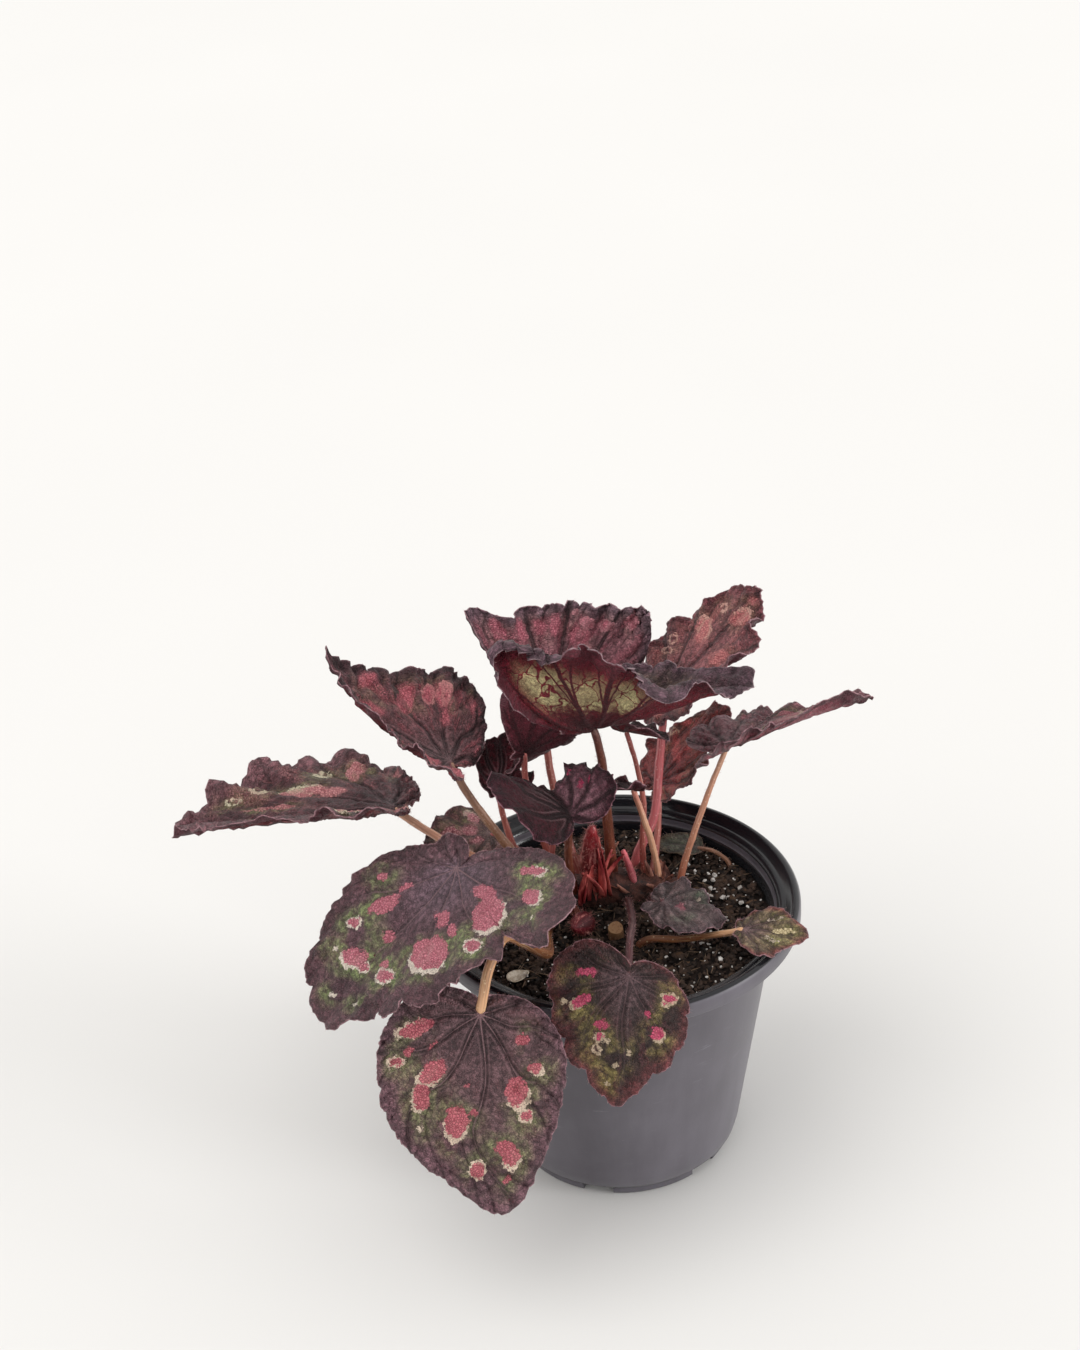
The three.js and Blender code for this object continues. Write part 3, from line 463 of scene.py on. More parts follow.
def rolled_surface(leaf, angle, share):
    """The blade's surface with parts of its margin rolled over towards the underside"""
    points, flat = blade_surface(leaf, angle, share)
    amount = sum(roll * np.exp(-(((angle - at + 180) % 360 - 180) / half) ** 2)
                 for at, half, roll in ROLLS.get(leaf["name"], []))
    if np.max(amount) < 1:
        return points, flat
    amount = amount * (1 + 0.35 * wander(angle * RAD, leaf["name"] + "roll", 6, 14)) * RAD
    radius = outline_radius(leaf, angle)
    width = np.minimum(ROLL_WIDTH * leaf["length"] / 55, 0.4 * radius)
    from_share = 1 - width / radius
    start, _ = blade_surface(leaf, angle, from_share)
    inside, _ = blade_surface(leaf, angle, from_share - 0.02)
    beside, _ = blade_surface(leaf, angle + 0.5, from_share)
    out = start - inside
    out /= np.linalg.norm(out, axis=1, keepdims=True)
    up = np.cross(out, beside - start)
    up /= np.linalg.norm(up, axis=1, keepdims=True)
    over = np.clip((share - from_share) / (1 - from_share), 0, 1)
    turned = np.maximum(amount, 1e-3)
    lead = width * np.sin(turned * over) / turned - width * over
    drop = width * (1 - np.cos(turned * over)) / turned
    keep = (over > 0)[:, None]
    return points + keep * (out * lead[:, None] - up * drop[:, None]), flat


def main_veins(leaf):
    rng = random.Random(leaf["name"])
    spread = [0]
    for angle in (32, 64, 99, 136):
        spread += [angle + rng.uniform(-3, 3), -angle + rng.uniform(-3, 3)]
    return sorted(spread + [178])


def fork_veins(leaf):
    """Side branches: the main vein's angle, how far a branch turns from it, and the share where it starts"""
    rng = random.Random(leaf["name"] + "forks")
    forks = []
    for angle in main_veins(leaf)[:-1]:
        for way in (-1, 1):
            forks.append((angle, way * rng.uniform(9, 13), rng.uniform(0.32, 0.46)))
            if angle == 0:
                forks.append((angle, way * 5.5, rng.uniform(0.58, 0.66)))
    return forks


def nearest_vein(distances, passed):
    """Signed distance to the nearest vein; its sign changes at each vein and nowhere else"""
    sign = np.where(passed.sum(0) % 2 == 0, 1.0, -1.0)
    return sign * np.abs(distances).min(0)


def vein_distances(leaf, angle, share, radius):
    mains = np.array(main_veins(leaf))[:, None]
    bends = wander(angle * RAD + 3.5 * share, leaf["name"] + "bends", 0.8, 2.6)
    angle = angle + 5 * np.minimum(1, 1.6 * share) * bends
    main = nearest_vein((angle - mains) * RAD * radius, angle > mains)
    gaps, passed = [], []
    for start_angle, way, start in fork_veins(leaf):
        grown = np.clip((share - start) / (1 - start), 0, 1) ** 0.8
        at = start_angle + way * grown
        gaps.append(np.abs((angle - at) * RAD * radius) + np.maximum(0, start - share) * leaf["length"])
        passed.append(angle > at)
    return main, nearest_vein(np.array(gaps), np.array(passed))


def sheet_grid(steps, *bands):
    """Angles, shares and faces of a round sheet: a fan, then bands of rings, each twice as fine as before"""
    rings = [(share, steps * 2 ** band) for band, shares in enumerate(bands) for share in shares]
    angles, shares, faces, starts = [0.0], [0.0], [], []
    for share, count in rings:
        starts.append(len(angles))
        angles += [-180 + 360 * i / count for i in range(count)]
        shares += [share] * count
    faces += [(0, 1 + i, 1 + (i + 1) % steps) for i in range(steps)]
    for ring in range(len(rings) - 1):
        a, b = starts[ring], starts[ring + 1]
        near, far = rings[ring][1], rings[ring + 1][1]
        for i in range(near):
            p, q = a + i, a + (i + 1) % near
            if far == near:
                faces.append((p, b + i, b + (i + 1) % far, q))
                continue
            u, v, w = b + 2 * i, b + 2 * i + 1, b + (2 * i + 2) % far
            faces += [(p, u, v), (p, v, q), (q, v, w)]
    rim = list(range(starts[-1], starts[-1] + rings[-1][1]))
    return np.array(angles), np.array(shares), faces, rim, starts[-2]


def sheet_normals(points, faces):
    normals = np.zeros_like(points)
    corners = [(f[0], f[1], f[2]) for f in faces]
    corners = np.array(corners + [(f[0], f[2], f[3]) for f in faces if len(f) == 4])
    a, b, c = (points[corners[:, k]] for k in range(3))
    facing = np.cross(b - a, c - a)
    for k in range(3):
        np.add.at(normals, corners[:, k], facing)
    return normals / np.maximum(np.linalg.norm(normals, axis=1, keepdims=True), 1e-9)


def mesh_object(name, points, faces, materials):
    mesh = bpy.data.meshes.new(name)
    mesh.from_pydata([tuple(p) for p in points], [], faces)
    for material in materials:
        mesh.materials.append(material)
    mesh.polygons.foreach_set("use_smooth", [True] * len(mesh.polygons))
    mesh.update()
    made = bpy.data.objects.new(name, mesh)
    bpy.context.scene.collection.objects.link(made)
    return made


def store(mesh, name, kind, values):
    layer = mesh.attributes.new(name, kind, "POINT")
    field = "vector" if kind == "FLOAT_VECTOR" else "value"
    layer.data.foreach_set(field, np.ravel(values).astype(np.float32))


LARGE_LEAF = 34
LARGE_GRID = (88, np.linspace(0.03, 0.2, 7), np.linspace(0.225, 0.68, 18), np.linspace(0.7, 1, 14))
SMALL_GRID = (64, np.linspace(0.06, 0.34, 6), np.linspace(0.4, 1, 13))
BLADE_MIDDLE = 0.66
BLADE_EDGE = 0.3


def build_blade(leaf, material):
    angle, share, faces, rim, last = sheet_grid(*(LARGE_GRID if leaf["length"] >= LARGE_LEAF else SMALL_GRID))
    steps = len(rim)
    middle, flat = rolled_surface(leaf, angle, share)
    radius = np.hypot(flat[:, 0], flat[:, 1])
    main, fork = vein_distances(leaf, angle, share, radius)
    size = leaf["length"] / 60
    normals = sheet_normals(middle, faces)
    main_valley = np.exp(-np.abs(main) / 1.6) * np.minimum(1, share * 5)
    fork_valley = np.exp(-np.abs(fork) / 1.1) * np.minimum(1, share * 2)
    bumps = sum(height * wander(flat[:, 0], leaf["name"] + str(low), low, 3 * low)
                * wander(flat[:, 1], leaf["name"] + str(height), low, 3 * low)
                for height, low in ((0.8, 0.4), (0.7, 0.9)))
    relief = size * (0.6 - 1.3 * main_valley - 0.7 * fork_valley + bumps * share)
    relief = relief * LOOKS.get(leaf["name"], {}).get("relief", 1.0)
    middle = middle + normals * relief[:, None]
    normals = sheet_normals(middle, faces)
    thick = (BLADE_MIDDLE + (BLADE_EDGE - BLADE_MIDDLE) * share ** 3)[:, None]
    count = len(middle)
    points = np.concatenate([middle + normals * thick / 2, middle - normals * thick / 2]) * MM
    under = [tuple(i + count for i in reversed(f)) for f in faces]
    edge = [(a, a + count, b + count, b) for a, b in zip(rim, rim[1:] + rim[:1])]
    blade = mesh_object(leaf["name"] + "_leaf_blade", points, faces + under + edge, [material])
    mesh = blade.data
    side = np.repeat([1.0, -1.0], count)
    store(mesh, "leaf_flat", "FLOAT_VECTOR", np.column_stack([np.tile(flat, (2, 1)), side]))
    store(mesh, "leaf_veins", "FLOAT_VECTOR", np.tile(np.column_stack([main, fork, share]), (2, 1)))
    store(mesh, "leaf_edge", "FLOAT", np.tile((1 - share) * radius / np.maximum(share, 0.05), 2))
    outward = np.zeros((2 * count, 3))
    before = [last + i for i in range(steps)]
    away = middle[rim] - middle[before]
    outward[rim] = away / np.linalg.norm(away, axis=1, keepdims=True)
    store(mesh, "leaf_outward", "FLOAT_VECTOR", outward)
    on_rim = np.zeros(2 * count)
    on_rim[rim] = 1
    store(mesh, "leaf_rim", "FLOAT", on_rim)
    return blade


# Leaf skins: colours as seen, 0 to 255, and how strong each marking is
# The crease value sets how dark the painted shade in the vein grooves is
# The edge colour is the pale margin line, partly fringe hair and partly painted edge highlight
PLAIN_LOOK = dict(
    heart=(76, 52, 58), field=(94, 60, 66), margin=(78, 46, 52), green=(110, 112, 70), greenness=0.7,
    vein=(150, 116, 120), veins=0.35, crease_shade=0.6, blotch=(212, 124, 140), blotch_deep=(146, 62, 80),
    crust=(214, 194, 176), edge=(180, 138, 146), under=(104, 22, 34), under_deep=(54, 9, 18),
    panel=(190, 178, 132), panels=0.0, under_margin=(92, 52, 60), blush=1.0, rays=0.1,
    far_half=(94, 60, 66), far_share=0.0, shine=0.28, soft=0.3)
LOOKS = {
    # front_left's grey-lilac heart is partly its own colour, partly painted sheen
    "front_left": dict(heart=(110, 88, 99), field=(104, 75, 82), margin=(94, 63, 69), green=(118, 130, 84),
                       greenness=0.95, veins=0.6, crease_shade=0.3, blotch=(214, 126, 142), crust=(242, 228, 212),
                       relief=0.8, shine=0.38),
    "front_low": dict(heart=(68, 48, 52), field=(108, 80, 84), margin=(112, 80, 88), green=(112, 118, 78),
                      greenness=0.75, veins=0.7, crease_shade=0.6, blotch=(200, 106, 118),
                      blotch_deep=(140, 56, 70), crust=(230, 208, 186)),
    "front_small": dict(heart=(86, 66, 70), field=(60, 43, 41), margin=(100, 52, 54), green=(140, 128, 74),
                        greenness=0.7, blotch=(200, 80, 114), blotch_deep=(154, 46, 78), edge=(190, 140, 150),
                        veins=0.25, crease_shade=0.4, crust=(198, 176, 150), relief=0.8),
    "far_left": dict(heart=(58, 32, 36), field=(92, 55, 60), margin=(124, 84, 90), blotch=(218, 148, 150),
                     rays=0.6, soft=0.8, blotch_deep=(148, 74, 82), green=(114, 112, 76),
                     crust=(228, 216, 186), greenness=0.75),
    "upper_left": dict(heart=(88, 64, 66), field=(116, 74, 79), margin=(74, 46, 52), crease_shade=0.8,
                       greenness=0.3, rays=0.9, soft=1.5, blotch=(206, 116, 126), blotch_deep=(146, 64, 76),
                       crust=(208, 142, 140)),
    "top_back": dict(heart=(118, 78, 84), field=(148, 98, 106), margin=(110, 84, 94), crease_shade=0.8,
                     greenness=0.15, rays=0.9, soft=1.2, blotch=(208, 124, 138), blotch_deep=(146, 70, 84),
                     crust=(206, 142, 150)),
    "top_centre": dict(heart=(84, 58, 64), field=(84, 56, 62), margin=(96, 70, 80), under=(106, 18, 34),
                       panels=1.0, under_deep=(58, 9, 18), under_margin=(88, 30, 42), edge=(170, 144, 150),
                       greenness=0.2, blush=0.0),
    "top_right": dict(heart=(134, 80, 84), field=(146, 90, 94), margin=(116, 62, 68), greenness=0.3,
                      crease_shade=0.7, rays=1.0, soft=1.0, blotch=(220, 140, 138), blotch_deep=(166, 86, 90),
                      crust=(220, 170, 156)),
    "far_right": dict(heart=(136, 90, 98), field=(142, 94, 102), margin=(146, 98, 106), under=(140, 68, 80),
                      rays=0.6, blotch=(190, 118, 128), blotch_deep=(146, 80, 90)),
    "back_right": dict(heart=(122, 44, 46), field=(132, 54, 54), margin=(112, 50, 50), greenness=0.3,
                       crease_shade=0.6, rays=1.0, soft=1.2, blotch=(206, 100, 100), blotch_deep=(160, 58, 62),
                       crust=(180, 140, 120)),
    "under_left": dict(heart=(70, 27, 34), field=(74, 28, 35), margin=(72, 34, 41), under=(82, 30, 40),
                       under_deep=(48, 12, 19), blush=0.3, crease_shade=0.8, shine=0.15, far_half=(48, 12, 18),
                       far_share=0.5),
    "crimson_left": dict(heart=(62, 14, 23), field=(72, 17, 27), margin=(72, 28, 36), under=(88, 16, 26),
                         blush=0.2, crease_shade=0.9, shine=0.12),
    "dark_centre": dict(heart=(32, 11, 15), field=(54, 21, 27), margin=(58, 24, 34), under=(48, 14, 20),
                        crease_shade=0.8, under_deep=(26, 7, 10), blush=0.9, greenness=0.0, veins=0.05,
                        edge=(160, 112, 124), far_half=(122, 84, 94), far_share=0.9, blotch=(190, 60, 100),
                        blotch_deep=(140, 34, 70), shine=0.12),
    "soil_right": dict(heart=(92, 74, 76), field=(102, 84, 84), margin=(92, 72, 76), green=(84, 98, 78),
                       greenness=0.9, veins=0.2, crease_shade=0.5, blush=0.5, relief=1.9, shine=0.4),
    "rim_right": dict(heart=(118, 94, 92), field=(122, 104, 82), margin=(132, 78, 74), green=(132, 128, 80),
                      crease_shade=0.6, blotch=(216, 200, 160), blotch_deep=(170, 150, 110), relief=1.5,
                      greenness=0.85),
    "back_left": dict(heart=(122, 98, 90), field=(128, 96, 90), margin=(110, 70, 74), crease_shade=0.6, rays=0.6,
                      soft=1.0, blotch=(226, 160, 164)),
    "old_leaf": dict(heart=(86, 92, 76), field=(92, 96, 80), margin=(98, 82, 66), veins=0.3,
                     edge=(120, 110, 90), crease_shade=0.5),
    "hidden_small": dict(heart=(60, 42, 44), field=(66, 46, 48)),
    "crumpled": dict(heart=(48, 20, 24), field=(56, 24, 28), margin=(84, 44, 50), under=(62, 18, 26),
                     crease_shade=0.9, shine=0.15),
    "young_leaf": dict(heart=(84, 28, 34), field=(96, 34, 42), margin=(136, 66, 76), under=(124, 38, 48)),
}


def scattered_blotches(leaf):
    """Blotches between the main veins on leaves, or parts of them, that the front hardly shows"""
    if leaf["name"] not in SCATTERED:
        return []
    low, high = SCATTERED[leaf["name"]]
    rng = random.Random(leaf["name"] + "blotches")
    size = leaf["length"] / 60
    spots = []
    veins = main_veins(leaf)
    for before, after in zip(veins, veins[1:]):
        middle = (before + after) / 2
        if not low < middle < high:
            continue
        for share, scale, lean in ((0.5, 1.0, 0), (0.72, 0.7, rng.choice((-50, 50)))):
            long_half = size * scale * rng.uniform(4.5, 7.5)
            kind = rng.choice(("crust", "plain", "ring"))
            spots.append((middle + rng.uniform(-5, 5), share + rng.uniform(-0.05, 0.05), long_half,
                          long_half * rng.uniform(0.4, 0.65), lean + rng.uniform(-12, 12), kind))
    return spots


def spot_distance(shader, place, centre, heading, half_length, half_width):
    """About how far, in mm, a place on the leaf is outside an oval"""
    given = {"Vector": place, "Location": (*centre, 0), "Rotation": (0, 0, heading),
             "Scale": (half_length, half_width, 1)}
    moved = shader.add("ShaderNodeMapping", given, vector_type="TEXTURE").outputs[0]
    size = math.sqrt(half_length * half_width)
    return shader.math("MULTIPLY_ADD", shader.vector("LENGTH", moved), size, -size)


def nearest_spot(shader, distances):
    """The least of several distances, with ovals that touch run together"""
    found = None
    for distance in distances:
        found = distance if found is None else shader.math("SMOOTH_MIN", found, distance, 0.8)
    return found if found is not None else 60.0


def blotch_distances(shader, leaf, place):
    pink, crust, dark = [], [], []
    blotches = BLOTCHES.get(leaf["name"], []) + scattered_blotches(leaf)
    for angle, share, half_length, half_width, lean, kind in blotches:
        radius = float(outline_radius(leaf, np.array(angle), False)) * share
        out = angle * RAD
        centre = np.array([radius * math.cos(out), radius * math.sin(out)])
        heading = (angle + lean) * RAD
        if kind != "cream":
            pink.append(spot_distance(shader, place, centre, heading, half_length, half_width))
        if kind == "crust":
            reach = 0.25 * half_width + 0.7
            further = centre + reach * np.array([math.cos(out), math.sin(out)])
            crust.append(spot_distance(shader, place, further, heading, half_length + 0.1, half_width + 0.1))
        elif kind == "ring":
            crust.append(spot_distance(shader, place, centre, heading, half_length + 0.7, half_width + 0.7))
        elif kind == "cream":
            crust.append(spot_distance(shader, place, centre, heading, half_length, half_width))
            if half_length > 1.6:
                dark.append(spot_distance(shader, place, centre, heading, half_length * 0.55,
                                          half_width * 0.5))
    return nearest_spot(shader, pink), nearest_spot(shader, crust), nearest_spot(shader, dark)


def leaf_skin(leaf):
    look = {key: linear(*value) if isinstance(value, tuple) else value
            for key, value in {**PLAIN_LOOK, **LOOKS.get(leaf["name"], {})}.items()}
    material, shader, surface = new_material(leaf["name"] + "_leaf_skin")
    along, across, side = shader.parts(shader.attribute("leaf_flat"))
    main, fork, share = shader.parts(shader.attribute("leaf_veins"))
    edge = shader.attribute("leaf_edge", "Fac")
    flat = shader.add("ShaderNodeCombineXYZ", {0: along, 1: across}).outputs[0]
    main, fork = shader.math("ABSOLUTE", main), shader.math("ABSOLUTE", fork)

    broad = shader.vector("SUBTRACT", shader.noise(flat, 0.3, 1, output="Color"), (0.5, 0.5, 0.5))
    ragged = shader.vector("SUBTRACT", shader.noise(flat, 1.5, 2, output="Color"), (0.5, 0.5, 0.5))
    place = shader.vector("ADD", flat, shader.vector("SCALE", broad, 2.6))
    place = shader.vector("ADD", place, shader.vector("SCALE", ragged, 1.2))
    stepped = shader.vector("SUBTRACT", shader.cells(flat, 1.15, "Position"), flat)
    place = shader.vector("ADD", place, shader.vector("SCALE", stepped, 0.85))
    place = shader.vector("MULTIPLY", place, (1, 1, 0))
    pink, crust, dark = blotch_distances(shader, leaf, place)

    patchy = shader.noise(flat, 0.09, 3)
    cloudy = shader.noise(flat, 0.5, 3, 0.6)
    grainy = shader.noise(flat, 2.2, 3, 0.7)
    speckled = shader.noise(flat, 4.5, 2, 0.7)
    cells = shader.cell_edges(place, 0.42)
    fine_cells = shader.cell_edges(flat, 1.15)

    # Upper face
    upper = shader.mix(shader.ramp(share, 0.05, 0.5), look["heart"], look["field"])
    far_half = shader.times(shader.ramp(across, 1.5, -3.0), look["far_share"])
    upper = shader.mix(far_half, upper, look["far_half"])
    upper = shader.mix(shader.ramp(share, 0.72, 1.0), upper, look["margin"])
    near = shader.ramp(shader.math("MINIMUM", pink, crust), 7.0, 0.3)
    near = shader.times(near, shader.ramp(share, 0.38, 0.6), shader.ramp(share, 1.0, 0.88),
                        shader.ramp(patchy, 0.4, 0.54), shader.ramp(cloudy, 0.3, 0.6, 0.35, 1.0))
    upper = shader.mix(shader.times(near, look["greenness"]), upper, look["green"])
    shade = shader.times(shader.ramp(patchy, 0.35, 0.65, 0.8, 1.2), shader.ramp(grainy, 0.3, 0.7, 0.64, 1.42),
                         shader.ramp(cloudy, 0.3, 0.7, 0.7, 1.34), shader.ramp(cells, 0.0, 0.2, 0.56, 1.12),
                         shader.ramp(fine_cells, 0.0, 0.14, 0.8, 1.0))
    tone = shader.add("ShaderNodeCombineColor", {0: shade, 1: shade, 2: shade}).outputs[0]
    upper = shader.mix(1.0, upper, tone, "MULTIPLY")
    # Darker along the main and side veins: partly the veins' own dark colour, partly painted shade in their
    # grooves
    fine_crease_shade = shader.times(shader.ramp(fork, 0.9, 0.15), 0.6)
    crease_shade = shader.times(shader.ramp(main, 1.5, 0.25), shader.ramp(share, 0.0, 0.2))
    crease_shade = shader.math("MAXIMUM", crease_shade, fine_crease_shade)
    upper = shader.mix(shader.times(crease_shade, look["crease_shade"]), upper, linear(24, 11, 14))
    fade = shader.ramp(share, 0.0, 1.0, 1.0, 0.2)
    thin = shader.times(shader.ramp(main, 0.42, 0.12), fade)
    upper = shader.mix(shader.times(thin, look["veins"]), upper, look["vein"])
    # Pale double lines beside the main veins near the base, as strong as the crease shade
    beside = shader.math("ABSOLUTE", shader.math("SUBTRACT", main, 1.5))
    paired = shader.times(shader.ramp(beside, 0.5, 0.0), shader.ramp(share, 0.9, 0.3, 0.0, 0.4))
    upper = shader.mix(shader.times(paired, look["crease_shade"]), upper, look["vein"])

    crusty = shader.times(shader.ramp(crust, 0.2, -0.1), shader.ramp(grainy, 0.34, 0.5, 0.3, 1.0),
                          shader.ramp(dark, -0.2, 0.3), look["blush"])
    upper = shader.mix(crusty, upper, look["crust"])
    warm = shader.times(shader.ramp(fine_cells, 0.0, 0.22), shader.ramp(grainy, 0.26, 0.52))
    blush = shader.mix(warm, look["blotch_deep"], look["blotch"])
    blush = shader.mix(shader.ramp(speckled, 0.56, 0.7, 0.0, 0.6), blush, look["crust"])
    blushed = shader.times(shader.ramp(pink, look["soft"], -look["soft"]),
                           shader.ramp(speckled, 0.2, 0.42, 0.5, 1.0))
    bearing = shader.math("ARCTAN2", across, along)
    polar = shader.add("ShaderNodeCombineXYZ", {0: shader.times(bearing, 7.0),
                                                1: shader.times(share, 2.2)}).outputs[0]
    streaks = shader.noise(polar, 1.0, 4, 0.65)
    blushed = shader.times(blushed, shader.ramp(streaks, 0.4, 0.5, 1 - 0.6 * look["rays"], 1.0))
    rays = shader.times(shader.ramp(streaks, 0.5, 0.6), shader.ramp(share, 0.28, 0.42),
                        shader.ramp(share, 0.93, 0.82), shader.ramp(main, 0.4, 1.4),
                        shader.ramp(grainy, 0.34, 0.6))
    blushed = shader.math("MAXIMUM", blushed, shader.times(rays, 0.85 * look["rays"]))
    blushed = shader.times(blushed, look["blush"])
    upper = shader.mix(blushed, upper, blush)
    # A thin pale line along the margin: partly the fringe hairs' colour, partly painted edge highlight
    rim = shader.times(shader.ramp(edge, 0.4, 0.1), shader.ramp(cloudy, 0.36, 0.62, 0.2, 0.75))
    upper = shader.mix(rim, upper, look["edge"])

    # Under face
    under = shader.mix(shader.ramp(share, 0.1, 0.5), look["under_deep"], look["under"])
    uneven = shader.math("ADD", share, shader.times(shader.math("SUBTRACT", cloudy, 0.5), 0.25))
    band = shader.times(shader.ramp(uneven, 0.3, 0.46), shader.ramp(uneven, 0.8, 0.62))
    between = shader.times(shader.ramp(main, 0.6, 1.0), shader.ramp(fork, 0.25, 0.5))
    within = shader.times(shader.ramp(bearing, -132 * RAD, -118 * RAD),
                          shader.ramp(bearing, -22 * RAD, -44 * RAD))
    lobed = shader.vector("ADD", flat, shader.vector("SCALE", broad, 3.5))
    panes = shader.parts(shader.cells(lobed, 0.15, "Color"))[0]
    seams = shader.cell_edges(lobed, 0.15)
    nets = shader.cell_edges(lobed, 0.5)
    panel = shader.times(band, within, between, shader.ramp(panes, 0.1, 0.6, 0.45, 1.0),
                         shader.ramp(seams, 0.01, 0.045), shader.ramp(nets, 0.0, 0.06, 0.7, 1.0),
                         shader.ramp(cloudy, 0.3, 0.6, 0.7, 1.0))
    under = shader.mix(shader.times(panel, look["panels"]), under, look["panel"])
    under = shader.mix(shader.ramp(share, 0.7, 0.95), under, look["under_margin"])
    pale = shader.times(shader.ramp(pink, 0.6, -0.6), 0.25)
    under = shader.mix(shader.times(pale, look["blush"]), under, look["blotch"])
    fine_ribs = shader.times(shader.ramp(fork, 0.42, 0.2), 0.8)
    ribs = shader.times(shader.math("MAXIMUM", shader.ramp(main, 0.8, 0.4), fine_ribs),
                        shader.ramp(share, 1.0, 0.75))
    under = shader.mix(shader.times(ribs, 0.85), under, look["under_deep"])
    under = shader.mix(0.6, under, tone, "MULTIPLY")
    # The same pale margin line on the under face, partly painted edge highlight
    under = shader.mix(rim, under, look["edge"])

    below = shader.math("LESS_THAN", side, 0.0)
    shader.feed(surface.inputs["Base Color"], shader.mix(below, upper, under))
    rough = shader.ramp(grainy, 0.3, 0.7, 0.36, 0.54)
    shader.feed(surface.inputs["Roughness"], shader.math("ADD", rough, shader.times(blushed, 0.08)))
    height = shader.ramp(cells, 0.0, 0.3)
    for much, relief in ((0.5, shader.ramp(fine_cells, 0.0, 0.3)), (0.8, shader.math("ADD", grainy, cloudy)),
                         (0.6, shader.math("MAXIMUM", blushed, crusty))):
        height = shader.math("MULTIPLY_ADD", relief, much, height)
    shader.feed(surface.inputs["Normal"], shader.bump(height, 0.00055, 0.95))
    surface.inputs["Specular IOR Level"].default_value = look["shine"]
    surface.inputs["Sheen Weight"].default_value = 0.04
    surface.inputs["Sheen Roughness"].default_value = 0.4
    return material


class Grower(Graph):
    """A Geometry Nodes tree with named inputs"""

    def __init__(self, name, inputs):
        super().__init__(bpy.data.node_groups.new(name, "GeometryNodeTree"))
        self.name = name
        self.tree.interface.new_socket(name="Geometry", in_out="INPUT", socket_type="NodeSocketGeometry")
        self.tree.interface.new_socket(name="Geometry", in_out="OUTPUT", socket_type="NodeSocketGeometry")
        for label, kind in inputs:
            self.tree.interface.new_socket(name=label, in_out="INPUT", socket_type="NodeSocket" + kind)
        self.given = self.add("NodeGroupInput").outputs

    def node(self, kind, inputs=None, **settings):
        return self.add("GeometryNode" + kind, inputs, **settings).outputs

    def scaled(self, vector, by):
        return self.add("ShaderNodeVectorMath", {0: vector, "Scale": by}, operation="SCALE").outputs["Vector"]

    def between(self, low, high, seed):
        return self.add("FunctionNodeRandomValue", {2: low, 3: high, "Seed": seed},
                        data_type="FLOAT").outputs[1]

    def any_way(self, seed, reach=1.0):
        return self.add("FunctionNodeRandomValue", {0: (-reach,) * 3, 1: (reach,) * 3, "Seed": seed},
                        data_type="FLOAT_VECTOR").outputs[0]

    def named(self, name, kind="FLOAT"):
        return self.node("InputNamedAttribute", {"Name": name}, data_type=kind)[0]

    def wobble(self, geometry, size, amount):
        """Moves points by noise of a size, by up to half the amount"""
        place = self.node("InputPosition")[0]
        noise = self.add("ShaderNodeTexNoise", {"Vector": place, "Scale": size, "Detail": 2.0})
        centred = self.add("ShaderNodeVectorMath", {0: noise.outputs["Color"], 1: (0.5, 0.5, 0.5)},
                           operation="SUBTRACT").outputs[0]
        return self.node("SetPosition", {"Geometry": geometry, "Offset": self.scaled(centred, amount)})[0]

    def hairs(self, points, aim, length, width, seed, skin):
        """Fine tapered hairs on points, leaning about the direction aim"""
        hair = self.node("MeshCone", {"Vertices": 3, "Side Segments": 1, "Depth": 1.0, "Radius Top": 0.12,
                                      "Radius Bottom": 1.0}, fill_type="NONE")[0]
        turned = self.add("FunctionNodeAlignRotationToVector", {"Vector": aim}, axis="Z").outputs[0]
        long = self.times(length, self.between(0.45, 1.25, seed))
        size = self.add("ShaderNodeCombineXYZ", {0: width, 1: width, 2: long}).outputs[0]
        given = {"Points": points, "Instance": hair, "Rotation": turned, "Scale": size}
        return self.finish(self.node("InstanceOnPoints", given)[0], skin)

    def finish(self, instances, skin):
        whole = self.node("RealizeInstances", {"Geometry": instances})[0]
        return self.node("SetMaterial", {"Geometry": whole, "Material": skin})[0]

    def join(self, *parts):
        joined = self.tree.nodes.new("GeometryNodeJoinGeometry")
        for part in parts:
            self.tree.links.new(part, joined.inputs[0])
        return joined.outputs[0]

    def give(self, geometry):
        self.tree.links.new(geometry, self.add("NodeGroupOutput").inputs[0])
        return self


def stem_grower():
    """A round stem along a path of points with a girth each, slightly uneven and set with hairs"""
    grower = Grower("stem", [
        ("Sides", "Int"), ("Unevenness", "Float"), ("Lump size", "Float"), ("Skin", "Material"),
        ("Hairs per square metre", "Float"), ("Hair length", "Float"), ("Hair width", "Float"),
        ("Hair lean", "Float"), ("Hair skin", "Material"), ("Seed", "Int")])
    given = grower.given
    path = grower.node("MeshToCurve", {"Mesh": given["Geometry"]})[0]
    ring = grower.node("CurvePrimitiveCircle", {"Resolution": given["Sides"], "Radius": 1.0})[0]
    marked = {"Geometry": ring, "Name": "stem_around", "Value": grower.node("InputPosition")[0]}
    ring = grower.node("StoreNamedAttribute", marked, data_type="FLOAT_VECTOR", domain="POINT")[0]
    stem = grower.node("CurveToMesh", {"Curve": path, "Profile Curve": ring, "Scale": grower.named("girth"),
                                       "Fill Caps": True})[0]
    stem = grower.wobble(stem, given["Lump size"], given["Unevenness"])
    stem = grower.node("SetShadeSmooth", {"Geometry": stem})[0]
    rooted = grower.node("DistributePointsOnFaces", {"Mesh": stem, "Density": given["Hairs per square metre"],
                                                     "Seed": given["Seed"]})
    lean = grower.scaled(grower.any_way(5), given["Hair lean"])
    aim = grower.add("ShaderNodeVectorMath", {0: rooted[1], 1: lean}, operation="ADD").outputs[0]
    hairs = grower.hairs(rooted[0], aim, given["Hair length"], given["Hair width"], 7, given["Hair skin"])
    skinned = grower.finish(stem, given["Skin"])
    return grower.give(grower.join(skinned, hairs))


